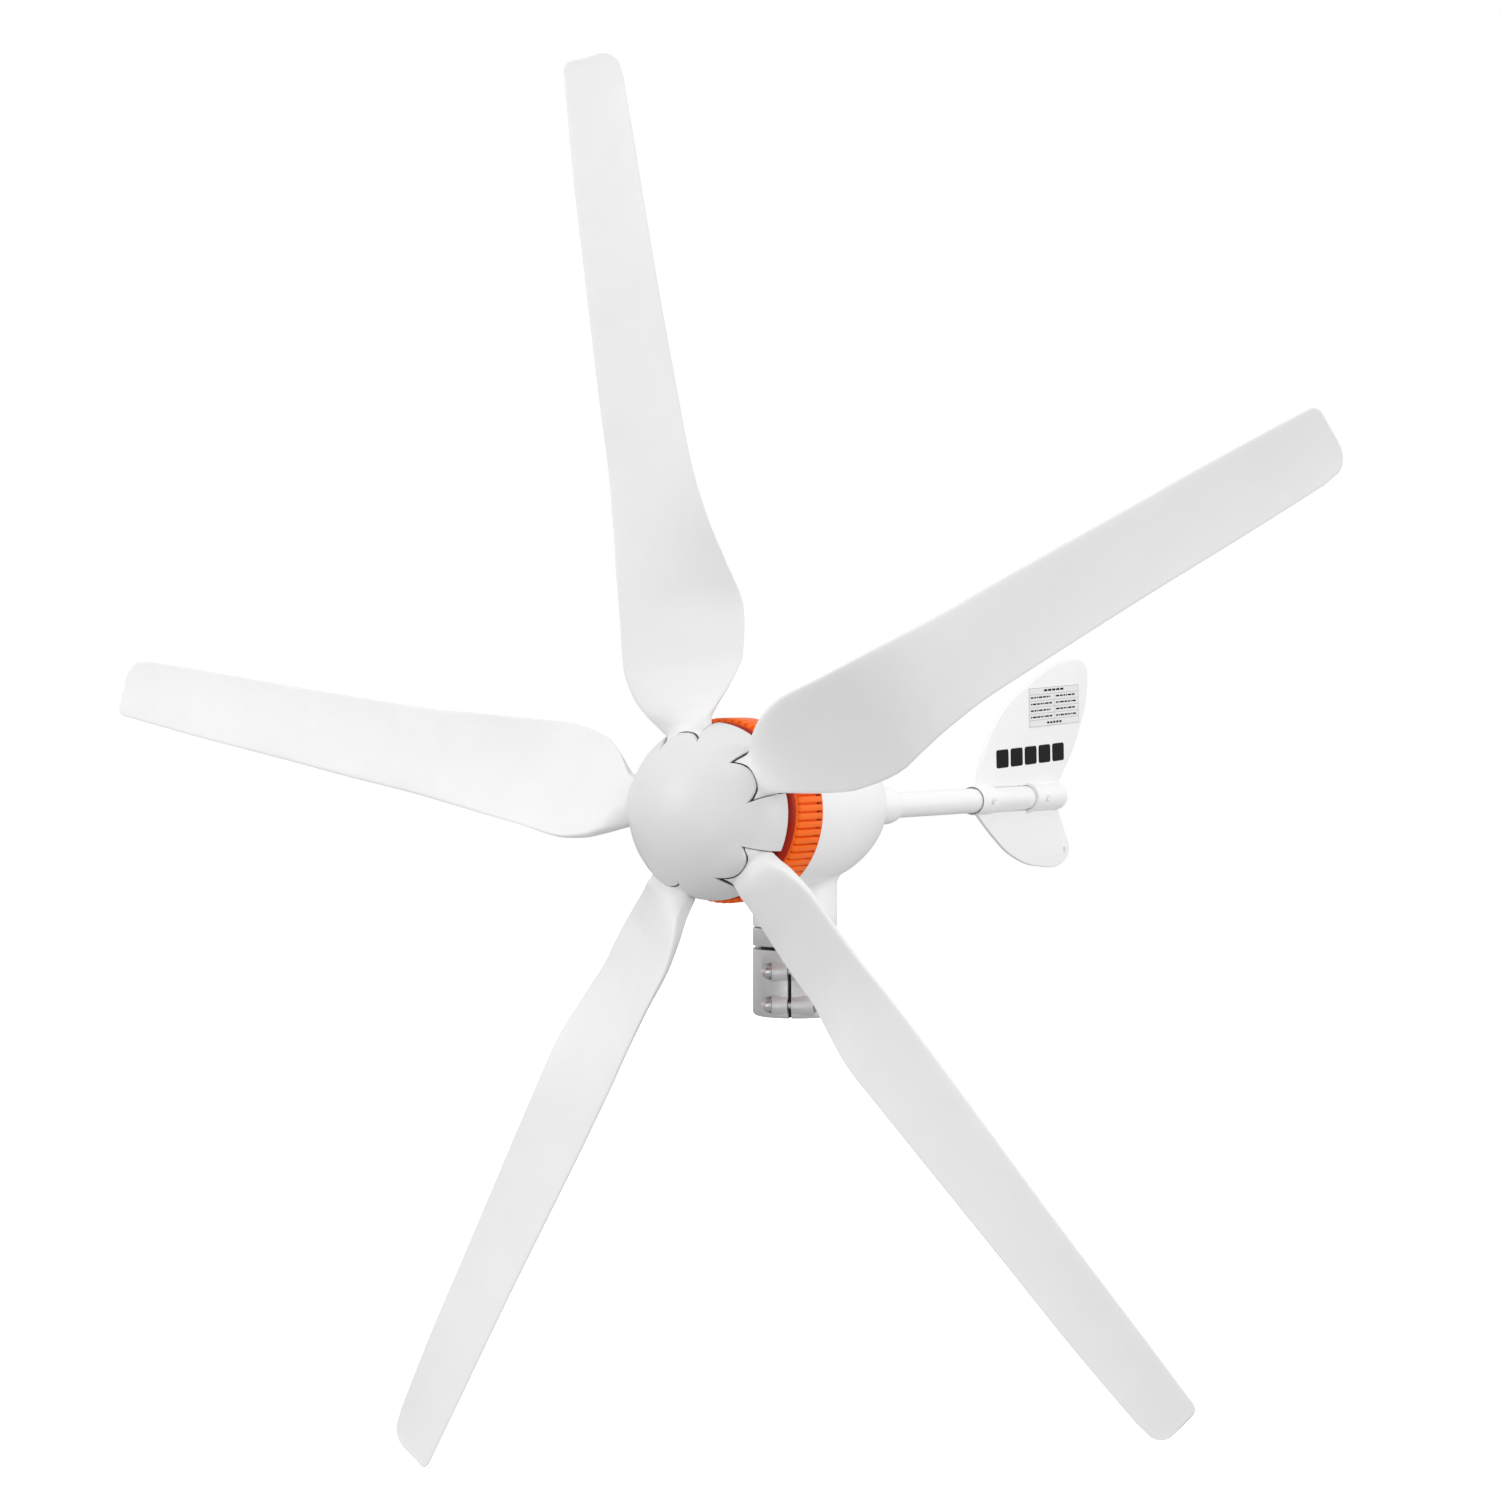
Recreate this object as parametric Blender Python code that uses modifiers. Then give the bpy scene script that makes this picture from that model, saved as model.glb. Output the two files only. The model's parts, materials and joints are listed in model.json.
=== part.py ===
"""Small five-blade wind turbine with a ribbed alternator cover, a pole clamp and a tail vane.

Metres, +Z up.  The origin is on the yaw axis, at the bottom of the pole clamp.
The nose points to -Y, the tail to +Y, and the rotor turns about an axis along Y.
"""
import math

import bmesh
import bpy
import numpy as np

# ---------------------------------------------------------------- driving sizes
HUB_HEIGHT = 0.170           # rotor axis above the bottom of the clamp
TIP_PLANE_Y = -0.163         # plane of the blade tips' leading corners
TIP_RADIUS = 0.600
BLADE_COUNT = 5
FIRST_BLADE_ANGLE = -8.9     # degrees, clockwise from straight up, seen from the nose
GAP = 0.0003                 # between pieces that touch
BOLT_CLEARANCE = 0.0003

ROUND = 32                   # sides of a large turned piece
MEDIUM = 20
SMALL = 10

# Everything on the rotor axis is placed by its depth behind the plane of the blade tips.
NOSE_DEPTH = -0.015
NOSE_RIM_DEPTH = 0.043
NOSE_RADIUS = 0.070
NOSE_WALL = 0.003
NOSE_ANGLES = (90, 78, 66, 54, 42, 30, 16, 0)
SLOT_HALF_WIDTH = 0.0174
TONGUE_ROOT = 0.055          # radius where the notches beside each tongue end
TONGUE_TIP = 0.062           # radius of the middle of each tongue

BLADE_BOLT_CIRCLE = 0.038
BLADE_BOLT_RADIUS = 0.0030
BLADE_BOLT_HEAD = 0.0050     # radius and height of the head

HUB_PLATE_FRONT = 0.0335     # just behind the blades' root tabs
HUB_PLATE_BACK = 0.0405
HUB_PLATE_RADIUS = 0.0640
HUB_CENTRE_RADIUS = 0.0220   # raised centre between the root tabs
HUB_BOSS_RADIUS = 0.0140
HUB_BOSS_BACK = 0.0450
HUB_WASHER_RADIUS = 0.0120
HUB_WASHER_THICKNESS = 0.0016
HUB_NUT_RADIUS = 0.0108
HUB_NUT_HEIGHT = 0.0090
CLAMP_PLATE_FRONT = 0.0203   # just before the root tabs
CLAMP_PLATE_BACK = 0.0233
CLAMP_PLATE_RADIUS = 0.048
SHAFT_RADIUS = 0.0075
SHAFT_START = 0.0030
SHAFT_END = 0.1410
THREAD_RADIUS = 0.0059

COVER_FACE = 0.0475
COVER_BACK = 0.0890
COVER_RADIUS = 0.0706
COVER_CORNER = 0.0065
COVER_WALL = 0.0050
COVER_BORE = 0.0090
BEARING_HOUSING = 0.0220     # outer radius of both bearing housings
RIB_RADIUS = 0.0732
RIB_START = 0.0530
RIB_COUNT = 70
RIB_BASE = 0.0700            # radius between the ribs
RIB_SHAPE = ((0.0, RIB_BASE), (0.12, RIB_RADIUS), (0.76, RIB_RADIUS), (0.88, RIB_BASE))
SPIGOT_RADIUS = 0.0652
SPIGOT_WALL = 0.0030
SPIGOT_BACK = 0.0970

RACE_SHARE = 0.28            # a race's thickness over the whole bearing's
RACE_BEVEL = 0.0008
BEARING_OUTER = 0.0174       # shaft bearings: 15 x 35 x 11
BEARING_WIDTH = 0.0110
FRONT_BEARING_DEPTH = 0.0520
REAR_BEARING_DEPTH = 0.1255
END_PLATE_FRONT = 0.1220
END_PLATE_THICKNESS = 0.0060
END_PLATE_RADIUS = 0.0610
END_PLATE_BORE = 0.0120
STATOR_FRONT = 0.0780
STATOR_BACK = 0.1120
STATOR_OUTER = 0.0560
STATOR_INNER = 0.0440
STATOR_SLOTS = 12
STATOR_SLOT_DEPTH = 0.0075
STATOR_SLOT_WIDTH = 0.0060
WINDING_LENGTH = 0.0090
WINDING_INNER = 0.0455
WINDING_OUTER = 0.0535
WINDING_CORNER = 0.0020
MAGNET_OVERHANG = 0.0020
MAGNET_RADIUS = 0.0433
THROUGH_BOLT_CIRCLE = 0.0585
THROUGH_BOLT_COUNT = 4
THROUGH_BOLT_RADIUS = 0.0020
THROUGH_BOLT_TIP = 0.1560
THROUGH_HEAD_RADIUS = 0.0038
THROUGH_HEAD_HEIGHT = 0.0026

SHELL_FRONT = 0.0893
SHELL_WALL = 0.0036
BULB_RADIUS = 0.0693
BULB_START = 0.129           # the shell is straight to here, then closes as an ellipse
BULB_LENGTH = 0.1376
BULB_ANGLES = (0, 10, 22, 36, 50, 65, 78)
TAIL_HOLE_RADIUS = 0.0143
SHELL_LUG_CIRCLE = 0.0601
SHELL_LUG_DEPTH = 0.1500
SHELL_LUG_SIZE = (0.0142, 0.0110, 0.0140)

# Everything on the yaw axis is placed by its height.
CLAMP_TURN = 25.0            # degrees that the clamp's split is turned from the nose
CLAMP_RADIUS = 0.0345
CLAMP_TOP = 0.0720
CLAMP_WEB = 0.0580
CLAMP_EDGE = 0.0010
CLAMP_FOOT_CORNER = 0.0060
POLE_BORE = 0.0245
SPLIT_WIDTH = 0.0020
SPLIT_SWEEP = 100.0
SPLIT_LOW = 0.0552           # the level part of the split, just under the web
SPLIT_HIGH = 0.0572
LUG_RADIUS = 0.0065
LUG_OFFSET = 0.0312
LUG_LEFT = -0.0145
LUG_RIGHT = 0.0200
LUG_HEIGHTS = {"lower": 0.0110, "upper": 0.0380}
CLAMP_BOLT_RADIUS = 0.0029
CLAMP_HEAD_RADIUS = 0.0050
CLAMP_HEAD_HEIGHT = 0.0055
CLAMP_NUT_RADIUS = 0.0052
CLAMP_NUT_HEIGHT = 0.0048
BOLT_STANDOUT = 0.0014       # how far a bolt's tip stands out of its nut
HEAD_POCKET = (0.0056, 0.0130)   # radius and length
NUT_POCKET = (0.0057, 0.0125)
SEAT_DEPTH = 0.0005          # how far a head or a nut sits in its lug

SPINDLE_RADIUS = 0.0150
SPINDLE_BORE = 0.0110
SPINDLE_FLANGE = 0.0220
SPINDLE_FLANGE_THICKNESS = 0.0040
SPINDLE_TOP = 0.1200
NECK_BOTTOM = 0.0730
NECK_BORE = 0.0278
NECK_TOP = 0.1152
SHOULDER_BORE = 0.0235       # step in the neck between the two yaw bearings
SHOULDER_LOW = 0.0918
SHOULDER_HIGH = 0.0992
CIRCLIP_RADIUS = 0.0180
CIRCLIP_THICKNESS = 0.0015
SEAL_HEIGHT = 0.0040
YAW_BEARING_OUTER = 0.0275   # yaw bearings: 30 x 55 x 13
YAW_BEARING_WIDTH = 0.0130
YAW_BEARING_BOTTOMS = {"lower": 0.0785, "upper": 0.0995}
SLIP_RING_HEIGHTS = (0.1250, 0.1320, 0.1390)
SLIP_RING_RADIUS = 0.0160
SLIP_RING_WIDTH = 0.0040
SLIP_RING_WALL = 0.0030
SLIP_RING_BORE = 0.0060
BRUSH_SIZE = (0.0060, 0.0120, 0.0030)
BRUSH_GAP = 0.0010
HOLDER_WIDTH = 0.0140
HOLDER_DEPTH = 0.0050

BOOM_HEIGHT = 0.1665
BOOM_RADIUS = 0.0110
BOOM_BORE = 0.0094
BOOM_START = 0.0720
BOOM_END = 0.4490
COLLAR_FACE = 0.1030
COLLAR_END = 0.1530
COLLAR_PROFILE = ((0.0122, COLLAR_END), (0.0140, 0.1512), (0.0157, 0.1450), (0.0160, 0.1380),
                  (0.0165, 0.1180), (0.0174, 0.1070), (0.0174, COLLAR_FACE))
BOOM_SCREW_PLACE = 0.1260
BOOM_SCREW_HOLE = 0.0027
BOOM_SCREW_PROFILE = ((0.0, -0.0080), (0.0024, -0.0080), (0.0024, -0.0166), (0.0040, -0.0166),
                      (0.0036, -0.0190), (0.0, -0.0190))
SLEEVE_RADIUS = 0.0128
SLEEVE_START = 0.2940
WINDOW_START = 0.3240
WINDOW_END = 0.3940
SLEEVE_END = 0.4590
SLEEVE_CORNER = 0.0090
SLEEVE_LIP = 0.0014          # height of the lip round the rear sleeve, and its length below
SLEEVE_LIP_LENGTH = 0.0020
FIN_THICKNESS = 0.0036
FIN_SEAT = 0.0120            # height of the fins' roots above and below the boom's axis
FIN_SCREW_PLACES = {"front": 0.3110, "rear": 0.4140}
FIN_SCREW_HOLE = 0.0021
FIN_SCREW_PROFILE = ((0.0, 0.0168), (0.0030, 0.0162), (0.0034, 0.0147), (0.0018, 0.0147),
                     (0.0018, 0.0070), (0.0, 0.0070))
HANG_HOLE = (0.467, 0.1155)
HANG_HOLE_RADIUS = 0.0030
STICKER_SIZE = (0.0004, 0.0980, 0.0360)
STICKER_CENTRE = (0.0023, 0.4460, 0.2505)
STICKER_TILT = 2.5           # degrees

# Outlines of the two fins, along the boom and up.
UPPER_FIN = ((0.3010, BOOM_HEIGHT + FIN_SEAT, "corner"), (0.3080, 0.1990, "smooth"),
             (0.3390, 0.2380, "smooth"), (0.3930, 0.2680, "smooth"), (0.4780, 0.2930, "smooth"),
             (0.5100, 0.2880, "smooth"), (0.5140, 0.2710, "smooth"), (0.4950, 0.2240, "smooth"),
             (0.4550, BOOM_HEIGHT + FIN_SEAT, "corner"))
LOWER_FIN = ((0.4540, BOOM_HEIGHT - FIN_SEAT, "corner"), (0.4685, 0.1330, "smooth"),
             (0.4775, 0.1160, "smooth"), (0.4690, 0.1062, "smooth"), (0.4190, 0.1024, "smooth"),
             (0.3650, 0.1150, "smooth"), (0.3340, 0.1315, "smooth"),
             (0.2990, BOOM_HEIGHT - FIN_SEAT, "corner"))

# Blade sections, as fractions of the tip radius: distance from the axis, then the
# leading edge's sideways place and depth, the trailing edge's, the thickness, and how
# square the section is.  Sideways is clockwise seen from the nose.
BLADE_SECTIONS = (
    (0.0433, -0.0275, 0.0474, 0.0275, 0.0474, 0.0157, 1.0),
    (0.1040, -0.0275, 0.0474, 0.0275, 0.0474, 0.0157, 1.0),
    (0.1080, -0.0275, 0.0410, 0.0275, 0.0430, 0.0250, 1.0),
    (0.1190, -0.0340, 0.0320, 0.0290, 0.0450, 0.0240, 0.8),
    (0.1330, -0.0475, 0.0200, 0.0370, 0.0560, 0.0215, 0.6),
    (0.1600, -0.0600, 0.0105, 0.0520, 0.0730, 0.0180, 0.3),
    (0.2000, -0.0672, 0.0060, 0.0670, 0.0900, 0.0155, 0.1),
    (0.2600, -0.0627, 0.0060, 0.0740, 0.0940, 0.0140, 0.0),
    (0.3200, -0.0601, 0.0070, 0.0710, 0.0700, 0.0130, 0.0),
    (0.3800, -0.0577, 0.0110, 0.0675, 0.0450, 0.0120, 0.0),
    (0.4500, -0.0545, 0.0120, 0.0620, 0.0330, 0.0115, 0.0),
    (0.5500, -0.0517, 0.0080, 0.0587, 0.0270, 0.0105, 0.0),
    (0.7000, -0.0461, 0.0030, 0.0545, 0.0200, 0.0090, 0.0),
    (0.8500, -0.0416, 0.0000, 0.0517, 0.0150, 0.0075, 0.0),
    (1.0000, -0.0350, 0.0000, 0.0460, 0.0140, 0.0060, 0.0),
)
TIP_LEADING_CORNER = 0.007
TIP_TRAILING_CORNER = 0.018
LOFT_PLACES = (0.0433, 0.1040, 0.108, 0.119, 0.133, 0.162, 0.200, 0.235, 0.270, 0.320, 0.380,
               0.480, 0.620, 0.800, 0.955, 0.9833, 0.995, 1.0)
CHORD_PLACES = (0.03, 0.18, 0.42, 0.70, 0.94)
BLADE_CAMBER = 0.035         # hollow of the rear side, as a share of the width
EDGE_SHARE = 0.16            # thickness at the edges, as a share of the greatest
FRONT_SHARE = 0.55           # how much of the half thickness the front side takes

WHITE = (0.86, 0.86, 0.86)
BLADE_WHITE = (0.80, 0.80, 0.80)
ORANGE = (0.90, 0.16, 0.03)
ALUMINIUM = (0.62, 0.62, 0.63)
STEEL = (0.45, 0.46, 0.48)
COPPER = (0.60, 0.25, 0.12)
BRASS = (0.72, 0.53, 0.22)
BLACK = (0.03, 0.03, 0.03)


# ---------------------------------------------------------------- scene helpers
def clear_scene():
    """Remove what the scene holds already."""
    for old in list(bpy.data.objects):
        bpy.data.objects.remove(old, do_unlink=True)


def new_collection(name):
    """A collection linked to the scene."""
    made = bpy.data.collections.new(name)
    bpy.context.scene.collection.children.link(made)
    return made


def new_frame(name, location, rotation=(0.0, 0.0, 0.0), parent=None):
    """An empty that carries the pieces of one axis."""
    empty = bpy.data.objects.new(name, None)
    PARTS.objects.link(empty)
    empty.location = location
    empty.rotation_euler = rotation
    empty.parent = parent
    return empty


def paint(piece, name, color, roughness, metallic):
    """Give a piece its own Principled material."""
    made = bpy.data.materials.new(name)
    made.use_nodes = True
    shader = made.node_tree.nodes["Principled BSDF"]
    shader.inputs["Base Color"].default_value = (*color, 1.0)
    shader.inputs["Roughness"].default_value = roughness
    shader.inputs["Metallic"].default_value = metallic
    made.diffuse_color = (*color, 1.0)
    piece.data.materials.clear()
    piece.data.materials.append(made)


def add_piece(name, mesh, frame, look):
    """Link a mesh as a named piece on a frame; look None makes it a cutter."""
    piece = bpy.data.objects.new(name, mesh)
    piece.parent = frame
    if look is None:
        CUTTERS.objects.link(piece)
        piece.hide_render = True
        piece.display_type = "WIRE"
    else:
        PARTS.objects.link(piece)
        paint(piece, name + "_finish", *look)
    return piece


def turned(name, profile, frame, look, sides=ROUND, ring=False):
    """Turn (radius, height) points, listed down the outer side, about the frame's Z axis."""
    mesh = bpy.data.meshes.new(name)
    points = [(radius, 0.0, height) for radius, height in profile]
    edges = [(i, i + 1) for i in range(len(points) - 1)]
    if ring:
        edges.append((len(points) - 1, 0))
    mesh.from_pydata(points, edges, [])
    piece = add_piece(name, mesh, frame, look)
    screw = piece.modifiers.new("turn", "SCREW")
    screw.axis = "Z"
    screw.angle = math.tau
    screw.steps = sides
    screw.render_steps = sides
    screw.use_merge_vertices = True
    screw.merge_threshold = 0.00001
    screw.use_smooth_shade = True
    return piece


def ring_profile(inner, outer, low, high):
    """A plain ring's profile, down the outer side and up the inner one."""
    return [(inner, high), (outer, high), (outer, low), (inner, low)]


def rod_profile(radius, low, high):
    """A plain rod's profile, from the axis down the outside to the axis."""
    return [(0.0, high), (radius, high), (radius, low), (0.0, low)]


def block(name, size, centre, frame, look, turn=0.0):
    """A box of full size (x, y, z), turned about Z."""
    mesh = bpy.data.meshes.new(name)
    shape = bmesh.new()
    bmesh.ops.create_cube(shape, size=1.0)
    bmesh.ops.scale(shape, vec=size, verts=shape.verts)
    shape.to_mesh(mesh)
    shape.free()
    piece = add_piece(name, mesh, frame, look)
    piece.location = centre
    piece.rotation_euler = (0.0, 0.0, turn)
    return piece


def plate(name, outline, low, high, frame, look, smooth=False):
    """A flat outline in the frame's XY plane, filled, from height low to high."""
    curve = bpy.data.curves.new(name, "CURVE")
    curve.dimensions = "2D"
    curve.fill_mode = "BOTH"
    curve.extrude = (high - low) / 2
    curve.resolution_u = 5
    spline = curve.splines.new("BEZIER" if smooth else "POLY")
    points = spline.bezier_points if smooth else spline.points
    points.add(len(outline) - 1)
    for point, entry in zip(points, outline):
        if smooth:
            point.co = (entry[0], entry[1], 0.0)
            kind = "VECTOR" if entry[2] == "corner" else "AUTO"
            point.handle_left_type = kind
            point.handle_right_type = kind
        else:
            point.co = (entry[0], entry[1], 0.0, 1.0)
    spline.use_cyclic_u = True
    guide = bpy.data.objects.new(name + "_outline", curve)
    bpy.context.scene.collection.objects.link(guide)
    graph = bpy.context.evaluated_depsgraph_get()
    mesh = bpy.data.meshes.new_from_object(guide.evaluated_get(graph))
    shape = bmesh.new()
    shape.from_mesh(mesh)
    bmesh.ops.remove_doubles(shape, verts=shape.verts, dist=0.000001)
    bmesh.ops.translate(shape, verts=shape.verts, vec=(0.0, 0.0, (low + high) / 2))
    bmesh.ops.recalc_face_normals(shape, faces=shape.faces)
    shape.to_mesh(mesh)
    shape.free()
    mesh.name = name
    bpy.data.objects.remove(guide, do_unlink=True)
    return add_piece(name, mesh, frame, look)


def combine(piece, other, operation):
    """Join another solid to a piece, or cut it away."""
    step = piece.modifiers.new(operation.lower() + "_" + other.name, "BOOLEAN")
    step.operation = operation
    step.solver = "EXACT"
    step.object = other
    weld = piece.modifiers.new("weld_" + other.name, "WELD")
    weld.merge_threshold = 0.00002


def hexagon_bore(radius):
    """Corner radius of a six-sided bore whose flats clear a round shank."""
    return (radius + GAP) / math.cos(math.pi / 6)


def arc(centre, radius, start, end, count):
    """Points on an arc in a plane, angles in degrees."""
    angles = np.radians(np.linspace(start, end, count))
    return [(centre[0] + radius * math.cos(a), centre[1] + radius * math.sin(a)) for a in angles]


# ---------------------------------------------------------------- pole clamp and yaw spindle
def clamp_tube(name, offset_x, length, radius, height, look, sides=SMALL):
    """A rod or cutter along the clamp bolts' line, from offset_x, across the split."""
    profile = rod_profile(radius, 0.0, length)
    piece = turned(name, profile, CLAMP_AXIS, look, sides)
    piece.location = (offset_x, -LUG_OFFSET, height)
    piece.rotation_euler = (0.0, math.radians(90.0), 0.0)
    return piece


def build_pole_clamp(look):
    """Split sleeve: it closes on the pole, and its top ring carries the spindle."""
    corner = CLAMP_FOOT_CORNER
    bore = SPINDLE_RADIUS + GAP
    profile = [(bore, CLAMP_TOP), (CLAMP_RADIUS - CLAMP_EDGE, CLAMP_TOP),
               (CLAMP_RADIUS, CLAMP_TOP - CLAMP_EDGE)]
    profile += arc((CLAMP_RADIUS - corner, corner), corner, 0.0, -90.0, 4)
    profile += [(POLE_BORE, 0.0), (POLE_BORE, CLAMP_WEB), (bore, CLAMP_WEB)]
    clamp = turned("pole_clamp", profile, CLAMP_AXIS, look, ROUND, ring=True)
    for level, height in LUG_HEIGHTS.items():
        lug = clamp_tube("lug_" + level, LUG_LEFT, LUG_RIGHT - LUG_LEFT, LUG_RADIUS, height, None, 16)
        combine(clamp, lug, "UNION")
    hole_radius = CLAMP_BOLT_RADIUS + BOLT_CLEARANCE
    for level, height in LUG_HEIGHTS.items():
        hole = clamp_tube("bolt_hole_" + level, -CLAMP_RADIUS, 2 * CLAMP_RADIUS, hole_radius, height, None)
        radius, length = HEAD_POCKET
        head = clamp_tube("head_pocket_" + level, LUG_LEFT + SEAT_DEPTH - length, length, radius,
                          height, None)
        radius, length = NUT_POCKET
        nut = clamp_tube("nut_pocket_" + level, LUG_RIGHT - SEAT_DEPTH, length, radius, height, None)
        for cutter in (hole, head, nut):
            combine(clamp, cutter, "DIFFERENCE")
    foot = -0.002
    depth = 0.030
    split = block("split_cutter", (SPLIT_WIDTH, depth, SPLIT_HIGH - foot),
                  (0.0, -CLAMP_RADIUS + 0.0005, (SPLIT_HIGH + foot) / 2), CLAMP_AXIS, None)
    wedge = [(0.0, 0.0)] + arc((0.0, 0.0), CLAMP_RADIUS + 0.010, -90.0 - SPLIT_SWEEP, -90.0, 9)
    release = plate("release_cutter", wedge, SPLIT_LOW, SPLIT_HIGH, CLAMP_AXIS, None)
    combine(clamp, split, "DIFFERENCE")
    combine(clamp, release, "DIFFERENCE")
    return clamp


def build_clamp_fasteners(look):
    """A socket-head bolt and a hexagon nut at each pair of lugs."""
    radius = CLAMP_BOLT_RADIUS
    seat = LUG_LEFT + SEAT_DEPTH - GAP
    head = seat - CLAMP_HEAD_HEIGHT
    nut_seat = LUG_RIGHT - SEAT_DEPTH + GAP
    nut_end = nut_seat + CLAMP_NUT_HEIGHT
    tip = nut_end + BOLT_STANDOUT
    bolt_profile = [(0.0, tip), (radius, tip), (radius, seat), (CLAMP_HEAD_RADIUS, seat),
                    (CLAMP_HEAD_RADIUS, head), (0.0, head)]
    nut_profile = ring_profile(hexagon_bore(radius), CLAMP_NUT_RADIUS, nut_seat, nut_end)
    for level, height in LUG_HEIGHTS.items():
        bolt = turned("clamp_bolt_" + level, bolt_profile, CLAMP_AXIS, look, SMALL)
        nut = turned("clamp_nut_" + level, nut_profile, CLAMP_AXIS, look, 6, ring=True)
        for piece in (bolt, nut):
            piece.location = (0.0, -LUG_OFFSET, height)
            piece.rotation_euler = (0.0, math.radians(90.0), 0.0)


def build_spindle(look):
    """Hollow yaw spindle, its flange under the clamp's web."""
    flange_top = CLAMP_WEB - GAP
    flange_low = flange_top - SPINDLE_FLANGE_THICKNESS
    profile = [(SPINDLE_BORE, SPINDLE_TOP), (SPINDLE_RADIUS, SPINDLE_TOP), (SPINDLE_RADIUS, flange_top),
               (SPINDLE_FLANGE, flange_top), (SPINDLE_FLANGE, flange_low), (SPINDLE_BORE, flange_low)]
    turned("yaw_spindle", profile, YAW_AXIS, look, MEDIUM, ring=True)


def build_bearing(name, frame, bore, outer, low, width, look):
    """Inner and outer race of one ball bearing."""
    wall = (outer - bore) * RACE_SHARE
    bevel = RACE_BEVEL
    high = low + width
    inner = [(bore, high), (bore + wall - bevel, high), (bore + wall, high - bevel),
             (bore + wall, low + bevel), (bore + wall - bevel, low), (bore, low)]
    outside = [(outer - wall, high), (outer, high), (outer, low), (outer - wall, low)]
    turned(name + "_inner_race", inner, frame, look, MEDIUM, ring=True)
    turned(name + "_outer_race", outside, frame, look, MEDIUM, ring=True)


def build_yaw_parts(steel, brass, insulator, rubber):
    """Bearings, retaining ring, seal, slip rings and brushes of the yaw joint."""
    for level, low in YAW_BEARING_BOTTOMS.items():
        build_bearing("yaw_bearing_" + level, YAW_AXIS, SPINDLE_RADIUS + GAP, YAW_BEARING_OUTER, low,
                      YAW_BEARING_WIDTH, steel)
    bore = SPINDLE_RADIUS + GAP
    low = YAW_BEARING_BOTTOMS["upper"] + YAW_BEARING_WIDTH + GAP
    turned("spindle_circlip", ring_profile(bore, CIRCLIP_RADIUS, low, low + CIRCLIP_THICKNESS),
           YAW_AXIS, steel, MEDIUM, ring=True)
    low = NECK_BOTTOM + GAP
    turned("neck_seal", ring_profile(bore + GAP, NECK_BORE - GAP, low, low + SEAL_HEIGHT),
           YAW_AXIS, rubber, MEDIUM, ring=True)
    wall_inner = SLIP_RING_RADIUS - SLIP_RING_WALL
    hub_high = SLIP_RING_HEIGHTS[-1] + 2 * SLIP_RING_WIDTH
    turned("slip_ring_hub", ring_profile(SLIP_RING_BORE, wall_inner, SPINDLE_TOP + GAP, hub_high),
           YAW_AXIS, insulator, MEDIUM, ring=True)
    brush_front = SLIP_RING_RADIUS + BRUSH_GAP
    for number, low in enumerate(SLIP_RING_HEIGHTS, 1):
        turned("slip_ring_%d" % number,
               ring_profile(wall_inner + GAP, SLIP_RING_RADIUS, low, low + SLIP_RING_WIDTH),
               YAW_AXIS, brass, MEDIUM, ring=True)
        block("brush_%d" % number, BRUSH_SIZE,
              (0.0, brush_front + BRUSH_SIZE[1] / 2, low + SLIP_RING_WIDTH / 2), YAW_AXIS, insulator)
    holder_front = brush_front + BRUSH_SIZE[1] + GAP
    holder_low = NECK_TOP + GAP
    block("brush_holder", (HOLDER_WIDTH, HOLDER_DEPTH, hub_high - holder_low),
          (0.0, holder_front + HOLDER_DEPTH / 2, (holder_low + hub_high) / 2), YAW_AXIS, insulator)


# ---------------------------------------------------------------- nacelle
def bulb_profile(shrink, front):
    """Outer side of the nacelle, or of its cavity, from the tail to the front."""
    radius = BULB_RADIUS - shrink
    length = BULB_LENGTH - shrink
    points = []
    for angle in BULB_ANGLES:
        turn = math.radians(angle)
        points.append((radius * math.sin(turn), BULB_START + length * math.cos(turn)))
    points += [(radius, BULB_START), (radius, front), (0.0, front)]
    return points


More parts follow.
